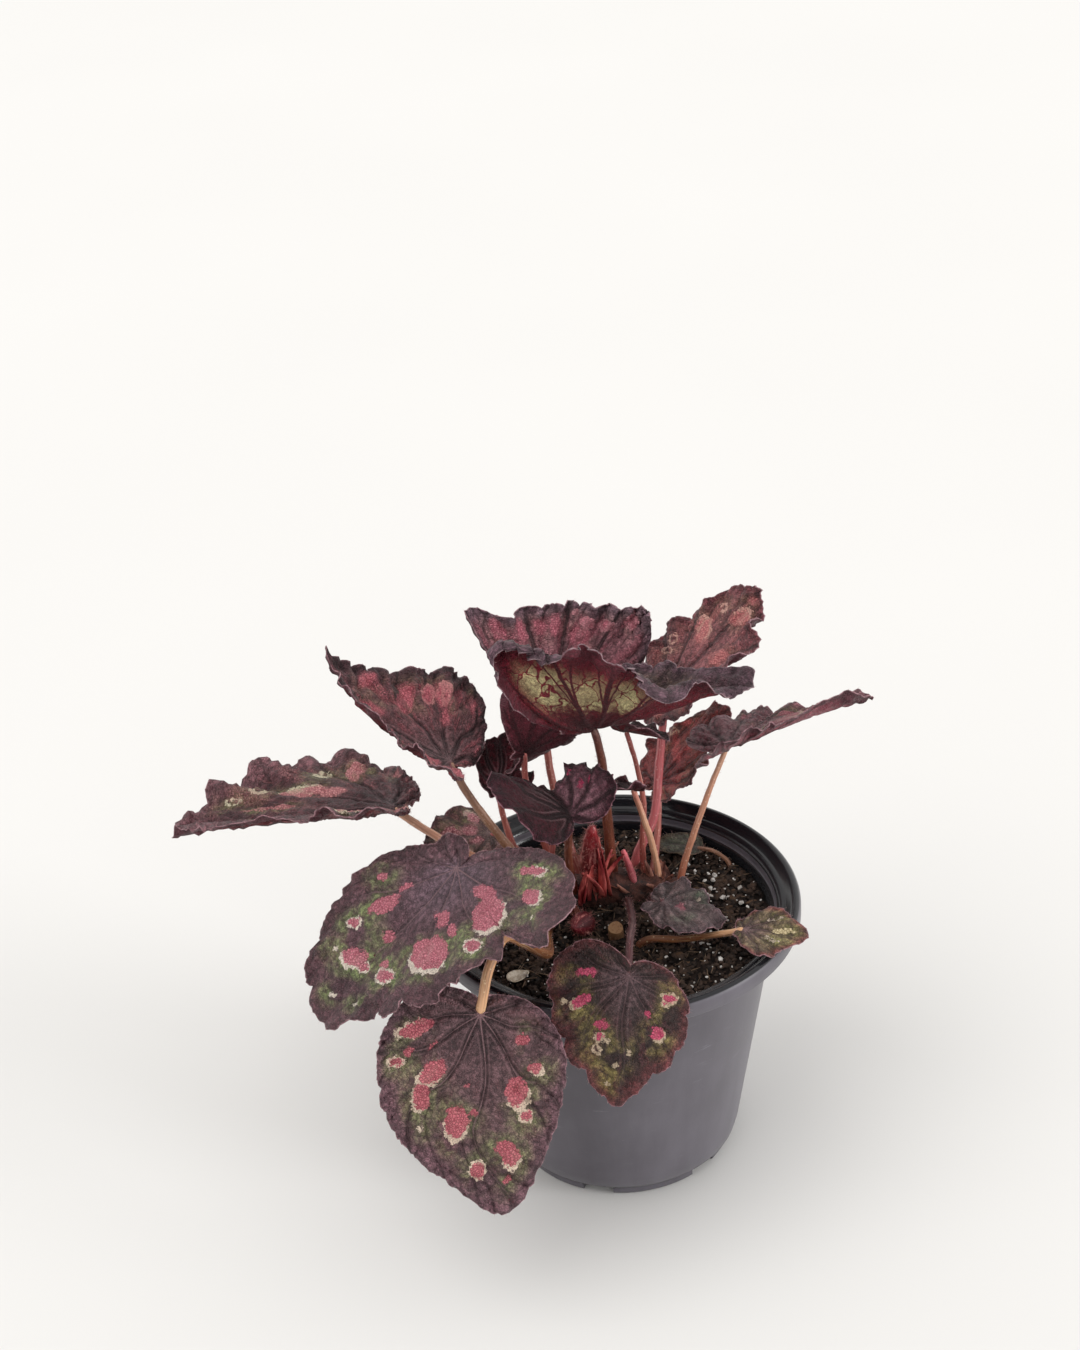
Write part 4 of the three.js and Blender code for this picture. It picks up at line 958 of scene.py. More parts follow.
def fringe_grower():
    """Fine hairs along the rim of a leaf blade"""
    grower = Grower("leaf_fringe", [("Share", "Float"), ("Hair length", "Float"), ("Hair width", "Float"),
                                    ("Hair skin", "Material"), ("Seed", "Int")])
    given = grower.given
    chosen = grower.math("LESS_THAN", grower.between(0.0, 1.0, given["Seed"]), given["Share"])
    chosen = grower.times(chosen, grower.math("GREATER_THAN", grower.named("leaf_rim"), 0.5))
    rooted = grower.node("MeshToPoints", {"Mesh": given["Geometry"], "Selection": chosen})[0]
    outward = grower.named("leaf_outward", "FLOAT_VECTOR")
    aim = grower.add("ShaderNodeVectorMath", {0: outward, 1: grower.any_way(3, 0.7)},
                     operation="ADD").outputs[0]
    hairs = grower.hairs(rooted, aim, given["Hair length"], given["Hair width"], 9, given["Hair skin"])
    return grower.give(grower.join(given["Geometry"], hairs))


def grain_grower():
    """Loose grains lying on a surface, as many as its grain_weight asks for"""
    grower = Grower("loose_grains", [
        ("Grains per square metre", "Float"), ("Smallest", "Float"), ("Largest", "Float"),
        ("Length", "Float"), ("Flatness", "Float"), ("Chipping", "Float"), ("Chip size", "Float"),
        ("Skin", "Material"), ("Seed", "Int")])
    given = grower.given
    density = grower.times(given["Grains per square metre"], grower.named("grain_weight"))
    laid = grower.node("DistributePointsOnFaces", {"Mesh": given["Geometry"], "Density": density,
                                                   "Seed": given["Seed"]})[0]
    grain = grower.node("MeshUVSphere", {"Segments": 7, "Rings": 5, "Radius": 0.5})[0]
    size = grower.between(given["Smallest"], given["Largest"], given["Seed"])
    long = grower.times(size, grower.between(1.0, given["Length"], 21))
    flat = grower.times(size, given["Flatness"])
    shape = grower.add("ShaderNodeCombineXYZ", {0: long, 1: size, 2: flat}).outputs[0]
    spin = grower.add("FunctionNodeRandomValue", {0: (-0.5, -0.5, 0.0), 1: (0.5, 0.5, 6.28), "Seed": 23},
                      data_type="FLOAT_VECTOR").outputs[0]
    placed = {"Points": laid, "Instance": grain, "Rotation": spin, "Scale": shape}
    whole = grower.node("RealizeInstances", {"Geometry": grower.node("InstanceOnPoints", placed)[0]})[0]
    chipped = grower.wobble(whole, given["Chip size"], given["Chipping"])
    return grower.give(grower.node("SetMaterial", {"Geometry": chipped, "Material": given["Skin"]})[0])


def turned_grower():
    """Turns a profile (radius in X, height in Z) into a closed round body, with drain holes cut through"""
    grower = Grower("turned_pot", [("Steps round", "Int"), ("Drains", "Int"), ("Drain circle", "Float"),
                                   ("Drain radius", "Float"), ("Skin", "Material")])
    given = grower.given
    rows = grower.node("AttributeDomainSize", {"Geometry": given["Geometry"]},
                       component="MESH")["Point Count"]
    tall = grower.math("SUBTRACT", rows, 1.0)
    round_count = grower.math("ADD", given["Steps round"], 1.0)
    grid = grower.node("MeshGrid", {"Size X": 2 * math.pi, "Size Y": tall, "Vertices X": round_count,
                                    "Vertices Y": rows})[0]
    angle, row, _ = grower.add("ShaderNodeSeparateXYZ", {0: grower.node("InputPosition")[0]}).outputs
    row = grower.math("ROUND", grower.math("ADD", row, grower.math("DIVIDE", tall, 2.0)))
    sampled = {"Geometry": given["Geometry"], "Value": grower.node("InputPosition")[0], "Index": row}
    point = grower.node("SampleIndex", sampled, data_type="FLOAT_VECTOR")[0]
    radius, _, height = grower.add("ShaderNodeSeparateXYZ", {0: point}).outputs
    x = grower.times(radius, grower.math("COSINE", angle))
    y = grower.times(radius, grower.math("SINE", angle))
    place = grower.add("ShaderNodeCombineXYZ", {0: x, 1: y, 2: height}).outputs[0]
    body = grower.node("SetPosition", {"Geometry": grid, "Position": place})[0]
    body = grower.node("MergeByDistance", {"Geometry": body, "Distance": 1e-6})[0]
    circle = grower.node("MeshCircle", {"Vertices": given["Drains"], "Radius": given["Drain circle"]})[0]
    drill = grower.node("MeshCylinder", {"Vertices": 24, "Radius": given["Drain radius"], "Depth": 0.012})[0]
    drills = grower.node("InstanceOnPoints", {"Points": circle, "Instance": drill})[0]
    drills = grower.node("RealizeInstances", {"Geometry": drills})[0]
    joined = {"Mesh 1": body, "Mesh 2": drills}
    cut = grower.node("MeshBoolean", joined, operation="DIFFERENCE", solver="EXACT")[0]
    return grower.give(grower.finish(cut, given["Skin"]))


def grow(grower, name, source, settings):
    """Runs a tree on an object, and gives back what it makes as a plain mesh object"""
    modifier = source.modifiers.new(grower.name, "NODES")
    modifier.node_group = grower.tree
    for item in grower.tree.interface.items_tree:
        if item.in_out == "INPUT" and item.name in settings:
            modifier[item.identifier] = settings[item.name]
    graph = bpy.context.evaluated_depsgraph_get()
    grown = source.evaluated_get(graph)
    mesh = bpy.data.meshes.new_from_object(grown, preserve_all_data_layers=True, depsgraph=graph)
    mesh.name = name
    source.modifiers.remove(modifier)
    bpy.data.objects.remove(source)
    made = bpy.data.objects.new(name, mesh)
    bpy.context.scene.collection.objects.link(made)
    return made


def curve_through(points, count):
    """Evenly spaced places along the centripetal curve that the solids' stems follow"""
    points = np.array(points, float)
    ends = np.vstack([2 * points[0] - points[1], points, 2 * points[-1] - points[-2]])
    fine = []
    for k in range(1, len(ends) - 2):
        before, start, end, after = ends[k - 1:k + 3]
        gaps = [end - start for start, end in zip(ends[k - 1:k + 2], ends[k:k + 3])]
        first, second, third = (max(np.linalg.norm(gap) ** 0.5, 1e-6) for gap in gaps)
        leave = (start - before) / first - (end - before) / (first + second) + (end - start) / second
        arrive = (end - start) / second - (after - start) / (second + third) + (after - end) / third
        leave, arrive = leave * second, arrive * second
        t = np.linspace(0, 1, 40)[:, None]
        fine.append(start + leave * t + (3 * (end - start) - 2 * leave - arrive) * t ** 2
                    + (2 * (start - end) + leave + arrive) * t ** 3)
    fine = np.vstack(fine)
    run = np.concatenate([[0], np.cumsum(np.linalg.norm(np.diff(fine, axis=0), axis=1))])
    at = np.linspace(0, run[-1], count)
    return np.stack([np.interp(at, run, fine[:, k]) for k in range(3)], 1), run[-1]


def build_stem(name, route, girths, settings, blunt=False):
    """A stem from the shared tree; its ends are rounded off within its own length"""
    path, length = curve_through(route, 72)
    share = np.linspace(0, 1, len(path))
    girth = smooth_through(np.linspace(0, 1, len(girths)), girths, share)
    if not blunt:
        for along in (share * length, (1 - share) * length):
            near = np.clip(along / np.maximum(girth, 0.5), 0.03, 1)
            girth = girth * np.sqrt(1 - (1 - near) ** 2)
    mesh = bpy.data.meshes.new(name + "_path")
    mesh.from_pydata([tuple(p) for p in path * MM], [(i, i + 1) for i in range(len(path) - 1)], [])
    store(mesh, "girth", "FLOAT", girth * MM)
    store(mesh, "stem_share", "FLOAT", share)
    source = bpy.data.objects.new(name + "_path", mesh)
    bpy.context.scene.collection.objects.link(source)
    return grow(STEM, name, source, settings)


def stem_skin(name, foot, middle, top, fleck, rough=0.42, stripes=0.5):
    """Stalk colours from foot to top, with streaks along it and pale flecks"""
    material, shader, surface = new_material(name)
    share = shader.attribute("stem_share", "Fac")
    around = shader.attribute("stem_around")
    place = shader.place()
    uneven = shader.math("ADD", share, shader.times(shader.noise(place, 60, 2), 0.3))
    colour = shader.mix(shader.ramp(uneven, 0.15, 0.6), linear(*foot), linear(*middle))
    colour = shader.mix(shader.ramp(uneven, 0.75, 1.15), colour, linear(*top))
    run = shader.add("ShaderNodeCombineXYZ", {2: share}).outputs[0]
    lengthwise = shader.vector("ADD", shader.vector("SCALE", around, 0.8), shader.vector("SCALE", run, 1.2))
    streaks = shader.noise(lengthwise, 2.6, 4, 0.62)
    shaded = linear(*[value * 0.45 for value in foot])
    colour = shader.mix(shader.ramp(streaks, 0.5, 0.72, 0.0, stripes), colour, shaded)
    colour = shader.mix(shader.ramp(streaks, 0.46, 0.3, 0.0, stripes), colour, linear(*fleck))
    flecks = shader.cells(place, 700.0, "Distance")
    colour = shader.mix(shader.ramp(flecks, 0.26, 0.14, 0.0, 0.4), colour, linear(*fleck))
    shader.feed(surface.inputs["Base Color"], colour)
    shader.feed(surface.inputs["Roughness"], shader.ramp(streaks, 0.3, 0.7, rough - 0.06, rough + 0.1))
    shader.feed(surface.inputs["Normal"], shader.bump(streaks, 0.00025, 0.7))
    surface.inputs["Specular IOR Level"].default_value = 0.5
    return material


def mottled_skin(name, dark, light, size, rough, bump_depth, stretch=(1, 1, 1), specular=0.4):
    """Two colours mixed by fine noise, with a matching rough surface"""
    material, shader, surface = new_material(name)
    place = shader.vector("MULTIPLY", shader.place(), stretch)
    coarse = shader.noise(place, size, 4, 0.6)
    fine = shader.noise(place, size * 4.7, 3, 0.6)
    share = shader.math("ADD", shader.times(coarse, 0.65), shader.times(fine, 0.35))
    colour = shader.mix(shader.ramp(share, 0.38, 0.62), linear(*dark), linear(*light))
    shader.feed(surface.inputs["Base Color"], colour)
    shader.feed(surface.inputs["Roughness"], shader.ramp(fine, 0.3, 0.7, rough - 0.08, rough + 0.08))
    shader.feed(surface.inputs["Normal"], shader.bump(share, bump_depth, 0.8))
    surface.inputs["Specular IOR Level"].default_value = specular
    return material


def pot_skin():
    """Formed black plastic: scuffed outside, and grey there with dust and painted sheen; bare, glossy black
    inside and on the lip
    """
    material, shader, surface = new_material("pot_plastic")
    place = shader.place()
    z = shader.parts(place)[2]
    across = shader.vector("LENGTH", shader.vector("MULTIPLY", place, (1, 1, 0)))
    taper = (NECK_RADIUS - HEEL_RADIUS) / (WALL_HEAD - WALL_FOOT)
    wall = shader.math("MULTIPLY_ADD", z, taper, (HEEL_RADIUS - 1.8) * MM)
    inside = shader.times(shader.math("LESS_THAN", across, wall), shader.math("GREATER_THAN", z, 3 * MM))
    lip = shader.times(shader.math("GREATER_THAN", z, WALL_HEAD * MM),
                      shader.ramp(across, (RIM_RADIUS - 0.3) * MM, (RIM_RADIUS - 0.8) * MM))
    # Inside and on the lip the plastic stays bare black, without the dust and painted sheen
    bare_black = shader.math("MAXIMUM", inside, lip)
    cloudy = shader.noise(place, 22, 4, 0.6)
    grain = shader.noise(place, 1400, 2)
    runs = shader.noise(shader.vector("MULTIPLY", place, (1, 1, 0.08)), 130, 3, 0.6)
    scuffs = shader.noise(shader.vector("MULTIPLY", place, (1, 0.3, 6)), 60, 6, 0.75)
    # Outside, the black plastic is painted grey, partly for dust and partly as painted sheen, lighter in
    # cloudy patches and vertical runs
    dust_and_sheen = shader.times(shader.ramp(cloudy, 0.3, 0.7, 0.45, 1.0), shader.ramp(runs, 0.3, 0.7, 0.75, 1.0),
                        shader.math("SUBTRACT", 1.0, bare_black))
    colour = shader.mix(dust_and_sheen, linear(62, 58, 65), linear(97, 93, 101))
    colour = shader.mix(shader.ramp(scuffs, 0.62, 0.72, 0.0, 0.4), colour, linear(140, 136, 146))
    colour = shader.mix(bare_black, colour, linear(17, 17, 22))
    shader.feed(surface.inputs["Base Color"], colour)
    rough = shader.ramp(cloudy, 0.3, 0.7, 0.36, 0.48)
    rough = shader.math("SUBTRACT", rough, shader.times(bare_black, 0.24))
    shader.feed(surface.inputs["Roughness"], rough)
    height = shader.math("ADD", shader.times(grain, 0.25), cloudy)
    shader.feed(surface.inputs["Normal"], shader.bump(height, 0.0003, 0.35))
    surface.inputs["Specular IOR Level"].default_value = 0.44
    surface.inputs["Sheen Weight"].default_value = 0.1
    surface.inputs["Sheen Roughness"].default_value = 0.5
    return material


def soil_height(x, y):
    """The mix's surface, in the same swells as the solid's"""
    relief = np.sin(0.11 * x + 1.2) * np.cos(0.13 * y) + 0.5 * np.sin(0.31 * x + 0.27 * y)
    return SOIL_LEVEL + 1.3 * 0.6 * relief


def pot_inside(z):
    """Radius of the pot's hollow at a height"""
    share = (z - INSIDE_FOOT) / (INSIDE_HEAD - INSIDE_FOOT)
    return HEEL_RADIUS - WALL + (NECK_RADIUS - HEEL_RADIUS) * share


def build_soil(skin):
    """The filling: a rough top over a body that follows the pot's inside"""
    steps = 192
    bands = np.linspace(0.03, 0.3, 10), np.linspace(0.325, 1, 34)
    angle, share, faces, rim, _ = sheet_grid(steps // 2, *bands)
    reach = pot_inside(SOIL_LEVEL) - SOIL_CLEARANCE
    x, y = reach * share * np.cos(angle * RAD), reach * share * np.sin(angle * RAD)
    rough = sum(wander(x, "soil" + str(k), 0.5 * k, 1.1 * k) * wander(y, "mix" + str(k), 0.5 * k, 1.1 * k) / k
                for k in (1, 2, 3))
    top = np.column_stack([x, y, soil_height(x, y) + 0.9 * rough])
    levels = [70.0, 40.0, INSIDE_FOOT, FLOOR_TOP + 0.3]
    points, ring = [top], rim
    for level in levels:
        radius = min(pot_inside(level) - SOIL_CLEARANCE, HEEL_RADIUS - 4.6 if level < 5 else RIM_RADIUS)
        start = sum(len(p) for p in points)
        turns = np.radians(angle[rim])
        x, y = radius * np.cos(turns), radius * np.sin(turns)
        points.append(np.column_stack([x, y, np.full(steps, level)]))
        below = [start + i for i in range(steps)]
        faces += [(ring[i], below[i], below[(i + 1) % steps], ring[(i + 1) % steps]) for i in range(steps)]
        ring = below
    points.append(np.array([[0, 0, levels[-1]]]))
    centre = sum(len(p) for p in points) - 1
    faces += [(centre, ring[(i + 1) % steps], ring[i]) for i in range(steps)]
    return mesh_object("potting_mix", np.vstack(points) * MM, faces, [skin])


def lay_grains(name, count, lift, weight, settings):
    """Loose grains over the soil's top, their middles lifted above it; weight(x, y) says where they gather"""
    angle, share, faces, _, _ = sheet_grid(48, np.linspace(0.06, 0.3, 5), np.linspace(0.36, 1, 12))
    reach = pot_inside(SOIL_LEVEL) - 1.6
    x, y = reach * share * np.cos(angle * RAD), reach * share * np.sin(angle * RAD)
    points = np.column_stack([x, y, soil_height(x, y) + lift])
    bed = mesh_object(name + "_bed", points * MM, faces, [])
    store(bed.data, "grain_weight", "FLOAT", weight(x, y))
    area = math.pi * (reach * MM) ** 2
    return grow(GRAINS, name, bed, {"Grains per square metre": count / area, **settings})


def pot_profile():
    """Rounded profile of the pot, from the middle of its underside round to the middle of its floor's top"""
    neck, heel, rim = NECK_RADIUS, HEEL_RADIUS, RIM_RADIUS
    outside = [(0, 2), (12, 2), (heel - 12, 2), (heel - 6, 2), (heel - 3, 3), (heel - 1, 5.2), (heel, 9)]
    outside += [(heel + (neck - heel) * t, WALL_FOOT + (WALL_HEAD - WALL_FOOT) * t)
                for t in np.linspace(0.06, 0.97, 30)]
    rim_line = [(neck - 0.1, 92.8), (neck + 0.25, 94.3), (neck + 1.6, 95.25), (neck + 3.2, 95.3),
                (rim - 2.6, 95.1), (rim - 1.65, 94.7), (rim - 1.35, 93.6), (rim - 1.2, 92.2),
                (rim - 0.95, 91.95), (rim - 0.2, 92.0), (rim, 92.25), (rim, 94.4), (rim - 0.05, 96.0),
                (rim - 0.35, 97.0), (rim - 1.0, 97.7)]
    inner = [(rim - 1.8, 97.95), (rim - 2.6, 97.75), (rim - 3.4, 97.1), (neck + 3.0, 95.3),
             (neck + 1.7, 93.9), (neck + 0.4, 92.5), (neck - WALL + 0.4, 91.3), (neck - WALL, 90.0)]
    wall = [(heel - WALL + (neck - heel) * t, INSIDE_FOOT + (INSIDE_HEAD - INSIDE_FOOT) * t)
            for t in np.linspace(0.95, 0, 14)]
    floor = [(heel - 2.4, 5.2), (heel - 4, 3.7), (heel - 6, FLOOR_TOP), (12, FLOOR_TOP), (0, FLOOR_TOP)]
    return np.array(outside + rim_line + inner + wall + floor, float)


def foot_block(inner, outer, start, span, steps):
    """A short foot under the pot: part of a ring, with its lower edges eased"""
    ease = 0.6
    section = [(outer - ease, 0), (outer, ease), (outer, FOOT_HEIGHT), (inner, FOOT_HEIGHT), (inner, ease),
               (inner + ease, 0)]
    points, faces = [], []
    for i in range(steps + 1):
        angle = (start + span * i / steps) * RAD
        points += [(r * math.cos(angle), r * math.sin(angle), z) for r, z in section]
    n = len(section)
    for i in range(steps):
        for k in range(n):
            a, b = i * n + k, i * n + (k + 1) % n
            faces.append((a, a + n, b + n, b))
    faces += [tuple(range(n)), tuple(reversed(range(steps * n, steps * n + n)))]
    return np.array(points), faces


def build_pot(skin):
    """The turned pot with its drain holes, a ring of short feet and a round pad under its middle"""
    profile = pot_profile()
    mesh = bpy.data.meshes.new("pot_profile")
    edges = [(i, i + 1) for i in range(len(profile) - 1)]
    mesh.from_pydata([(r * MM, 0, z * MM) for r, z in profile], edges, [])
    source = bpy.data.objects.new("pot_profile", mesh)
    bpy.context.scene.collection.objects.link(source)
    pot = grow(TURNED, "nursery_pot", source, {"Steps round": 192, "Drains": 8, "Drain circle": 24 * MM,
                                               "Drain radius": 3.5 * MM, "Skin": skin})
    body = bmesh.new()
    body.from_mesh(pot.data)
    bmesh.ops.recalc_face_normals(body, faces=body.faces)
    for i in range(6):
        points, faces = foot_block(35, 38, 60 * i + 22, 44, 16)
        made = [body.verts.new(p * MM) for p in points]
        foot = [body.faces.new([made[k] for k in face]) for face in faces]
        bmesh.ops.recalc_face_normals(body, faces=foot)
    steps = 48
    pad_points = [(r * math.cos(t), r * math.sin(t), z) for r, z in ((12.4, 0), (13, 0.6), (13, FOOT_HEIGHT))
                  for t in np.linspace(0, 2 * math.pi, steps, endpoint=False)]
    made = [body.verts.new(np.array(p) * MM) for p in pad_points]
    pad = []
    for low, high in ((0, steps), (steps, 2 * steps)):
        for i in range(steps):
            after = (i + 1) % steps
            pad.append(body.faces.new([made[low + i], made[low + after], made[high + after], made[high + i]]))
    pad += [body.faces.new(list(reversed(made[:steps]))), body.faces.new(made[2 * steps:])]
    bmesh.ops.recalc_face_normals(body, faces=pad)
    body.to_mesh(pot.data)
    body.free()
    pot.data.materials.clear()
    pot.data.materials.append(skin)
    pot.data.polygons.foreach_set("material_index", [0] * len(pot.data.polygons))
    pot.data.polygons.foreach_set("use_smooth", [True] * len(pot.data.polygons))
    pot.data.set_sharp_from_angle(angle=50 * RAD)
    return pot


def build_bract(skin):
    """A dried papery scale that lies on the mix, cupped and curled at its tip"""
    angle, share, faces, rim, _ = sheet_grid(32, np.linspace(0.1, 0.3, 3), np.linspace(0.4, 1, 8))
    turns = angle * RAD
    x = 4.0 * share * np.cos(turns)
    y = 2.2 * share * np.sin(turns) * (1 - 0.35 * np.cos(turns) * share)
    z = 0.10 * y ** 2 + 0.035 * x ** 2 + 0.12 * wander(turns, "bract", 3, 9) * share ** 2 - 0.75
    y, z = turn(y, z, 0.25)
    x, y = turn(x, y, 25 * RAD)
    middle = np.column_stack([x, y, z])
    normals = sheet_normals(middle, faces)
    count = len(middle)
    points = np.vstack([middle + normals * 0.16, middle - normals * 0.16]) + np.array([-33, -30, 90.4])
    under = [tuple(i + count for i in reversed(f)) for f in faces]
    edge = [(a, a + count, b + count, b) for a, b in zip(rim, rim[1:] + rim[:1])]
    return mesh_object("papery_bract", points * MM, faces + under + edge, [skin])


def build_stipules(name, skin, spread, lengths, lean, count):
    """Narrow pointed scales, cupped and curled, that stand round the feet of the stalks"""
    rng = random.Random(name)
    rows, columns = 12, 6
    grids = np.meshgrid(np.linspace(0, 1, rows), np.linspace(-1, 1, columns), indexing="ij")
    along, across = (grid.ravel() for grid in grids)
    points, faces = [], []
    for number in range(count):
        foot = np.array([rng.uniform(low, high) for low, high in spread])
        heading, tilt = rng.uniform(-180, 180) * RAD, rng.uniform(*lean) * RAD
        length, width = rng.uniform(*lengths), rng.uniform(1.3, 2.4)
        curl, ripple = rng.uniform(-0.12, 0.3), rng.uniform(3, 6)
        out = np.array([math.cos(heading), math.sin(heading), 0])
        beside, up = np.array([-out[1], out[0], 0]), np.array([0, 0, 1.0])
        rise = math.cos(tilt) * up + math.sin(tilt) * out
        face = math.cos(tilt) * out - math.sin(tilt) * up
        half = width * (0.06 + (1 - along ** 2.4) * (0.6 + 0.4 * np.sin(np.pi * along)))
        ruffle = 0.25 * np.sin(ripple * along + 3 * across)
        hollow = 0.7 * half * across ** 2 + ruffle - curl * length * along ** 2
        middle = foot + np.outer(along * length, rise) + np.outer(across * half, beside)
        middle = middle - np.outer(hollow, face)
        start, total = 2 * rows * columns * number, rows * columns
        points += [middle + 0.1 * face, middle - 0.1 * face]
        cells = [(i * columns + k, i * columns + k + 1, (i + 1) * columns + k + 1, (i + 1) * columns + k)
                 for i in range(rows - 1) for k in range(columns - 1)]
        ring = list(range(columns)) + [i * columns + columns - 1 for i in range(1, rows)]
        ring += [total - 1 - k for k in range(1, columns)] + [i * columns for i in range(rows - 2, 0, -1)]
        faces += [tuple(start + i for i in cell) for cell in cells]
        faces += [tuple(start + total + i for i in reversed(cell)) for cell in cells]
        around = zip(ring, ring[1:] + ring[:1])
        faces += [(start + a, start + total + a, start + total + b, start + b) for a, b in around]
    made = mesh_object(name, np.vstack(points) * MM, faces, [skin])
    body = bmesh.new()
    body.from_mesh(made.data)
    bmesh.ops.recalc_face_normals(body, faces=body.faces)
    body.to_mesh(made.data)
    body.free()
    return made


def settle(piece, node):
    """A finished piece rides on the object's body and stands for its solid, which is hidden when one is named
    """
    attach(piece, "root")
    if node:
        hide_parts(node)


# Camera, light and floor
def aim_camera():
    """The photo's view, fitted to the pot's rim, lip and outline"""
    lens = bpy.data.cameras.new("photo_view")
    lens.sensor_fit, lens.sensor_width, lens.lens = "AUTO", 36, 63.48
    lens.clip_start, lens.clip_end = 0.02, 20
    camera = bpy.data.objects.new("photo_view", lens)
    looking_down, roll = 30.681, -3.25
    tilt = Matrix.Rotation((90 - looking_down) * RAD, 4, "X") @ Matrix.Rotation(roll * RAD, 4, "Z")
    camera.matrix_world = Matrix.Translation((-0.020331, -0.646659, 0.568991)) @ tilt
    bpy.context.scene.collection.objects.link(camera)
    bpy.context.scene.camera = camera


def add_sun(name, towards, strength, spread, colour):
    lamp = bpy.data.lights.new(name, "SUN")
    lamp.energy, lamp.angle, lamp.color = strength, spread * RAD, colour
    sun = bpy.data.objects.new(name, lamp)
    sun.matrix_world = Vector(towards).to_track_quat("Z", "Y").to_matrix().to_4x4()
    bpy.context.scene.collection.objects.link(sun)


def light_room():
    world = bpy.data.worlds.new("studio")
    world.use_nodes = True
    world.node_tree.nodes["Background"].inputs["Color"].default_value = (1.0, 0.99, 0.978, 1)
    world.node_tree.nodes["Background"].inputs["Strength"].default_value = 0.94
    bpy.context.scene.world = world
    add_sun("ceiling", (-0.5, -0.25, 1.0), 1.05, 50, (1.0, 0.99, 0.97))
    add_sun("side_light", (0.9, -0.3, 0.25), 1.4, 20, (1.0, 1.0, 1.0))
    bpy.context.scene.view_settings.view_transform = "Standard"


def lay_floor():
    material, shader, surface = new_material("pale_floor")
    cloud = shader.noise(shader.place(), 3.0, 2)
    shader.feed(surface.inputs["Base Color"], shader.mix(cloud, linear(220, 219, 217), linear(224, 223, 221)))
    surface.inputs["Roughness"].default_value = 0.9
    surface.inputs["Specular IOR Level"].default_value = 0.0
    reach, level = 30, -0.0002
    corners = [(-reach, -reach, level), (reach, -reach, level), (reach, reach, level), (-reach, reach, level)]
    mesh_object("floor", corners, [(0, 1, 2, 3)], [material])


aim_camera()
light_room()
lay_floor()

STEM = stem_grower()
FRINGE = fringe_grower()
GRAINS = grain_grower()
TURNED = turned_grower()

HAIR_WIDTH = 0.035 * MM
HAIR = mottled_skin("leaf_hair", (160, 112, 112), (206, 170, 164), 300, 0.5, 0.0)
STALK_SKINS = {
    "red": stem_skin("stalk_red_skin", (150, 70, 62), (168, 92, 82), (160, 84, 80), (232, 186, 172)),
    "brown": stem_skin("stalk_brown_skin", (110, 50, 36), (116, 64, 46), (84, 48, 44), (164, 108, 84)),
    "maroon": stem_skin("stalk_maroon_skin", (70, 30, 32), (62, 28, 32), (84, 44, 48), (126, 80, 80)),
    "pink": stem_skin("stalk_pink_skin", (178, 82, 84), (186, 92, 96), (166, 84, 88), (236, 184, 180)),
    "tan": stem_skin("stalk_tan_skin", (174, 100, 76), (192, 134, 108), (198, 150, 124), (240, 214, 188)),
    # honey's dark foot is painted shade where these stalks run into the shaded crown
    "honey": stem_skin("stalk_honey_skin", (98, 54, 34), (150, 96, 62), (212, 164, 124), (244, 222, 182),
                       stripes=0.7),
    "dusky": stem_skin("stalk_dusky_skin", (132, 84, 60), (150, 108, 84), (142, 104, 86), (208, 178, 158)),
    "straw": stem_skin("stalk_straw_skin", (200, 140, 112), (216, 164, 132), (190, 120, 104),
                       (242, 216, 190)),
}
STALK_KINDS = {"far_left": "tan", "far_right": "tan", "front_left": "brown", "front_low": "honey",
               "top_centre": "brown", "dark_centre": "brown", "front_small": "maroon", "top_right": "pink",
               "rim_right": "honey", "soil_right": "maroon", "old_leaf": "dusky", "crumpled": "straw",
               "upper_left": "dusky"}
# How much slimmer the finished stalks are than the solids
SLIMMER = {"top_right": 0.74, "far_right": 0.7, "crumpled": 0.78, "hidden_small": 0.8, "old_leaf": 0.9}

for number, leaf in enumerate(LEAVES):
    name = leaf["name"]
    blade = build_blade(leaf, leaf_skin(leaf))
    reach = 0.9 if leaf["length"] >= 30 else 1.1
    blade = grow(FRINGE, name + "_leaf", blade, {"Share": 0.4, "Hair length": reach * MM, "Seed": number,
                                                 "Hair width": HAIR_WIDTH, "Hair skin": HAIR})
    settle(blade, name + "_blade")
    girths = [radius * SLIMMER.get(name, 0.88) for radius in leaf["girth"]]
    stalk = build_stem(name + "_petiole", leaf["route"] + [leaf["base"]], girths, {
        "Sides": 14, "Unevenness": 0.5 * MM, "Lump size": 230.0, "Seed": 40 + number,
        "Skin": STALK_SKINS[STALK_KINDS.get(name, "red")], "Hairs per square metre": 4.5e5,
        "Hair length": 1.1 * MM, "Hair width": HAIR_WIDTH, "Hair lean": 0.6, "Hair skin": HAIR})
    settle(stalk, name + "_stalk")

WOOLLY = {"Sides": 18, "Unevenness": 1.0 * MM, "Lump size": 320.0, "Hairs per square metre": 1.4e6,
          "Hair length": 1.9 * MM, "Hair width": 0.045 * MM, "Hair lean": 0.9}
BUDS = {
    "bud_upright": ([[-6.5, 10, 94], [-7, 9, 105], [-6, 7, 122]], [2.4, 3.6, 1.3], (132, 28, 36), 1.2e6, 1.0),
    "bud_low": ([[-9, -3, 89], [-11, -8, 93], [-14, -13, 95]], [1.8, 4.2, 1.2], (104, 22, 34), 0.5e6, 0.95),
    "bud_thin": ([[9, 10, 88], [7, 11, 98], [4, 9, 110]], [1.6, 1.3, 0.9], (206, 104, 112), 0.7e6, 0.4),
}
BUD_HAIR = mottled_skin("bud_hair", (176, 84, 80), (228, 176, 166), 260, 0.55, 0.0)
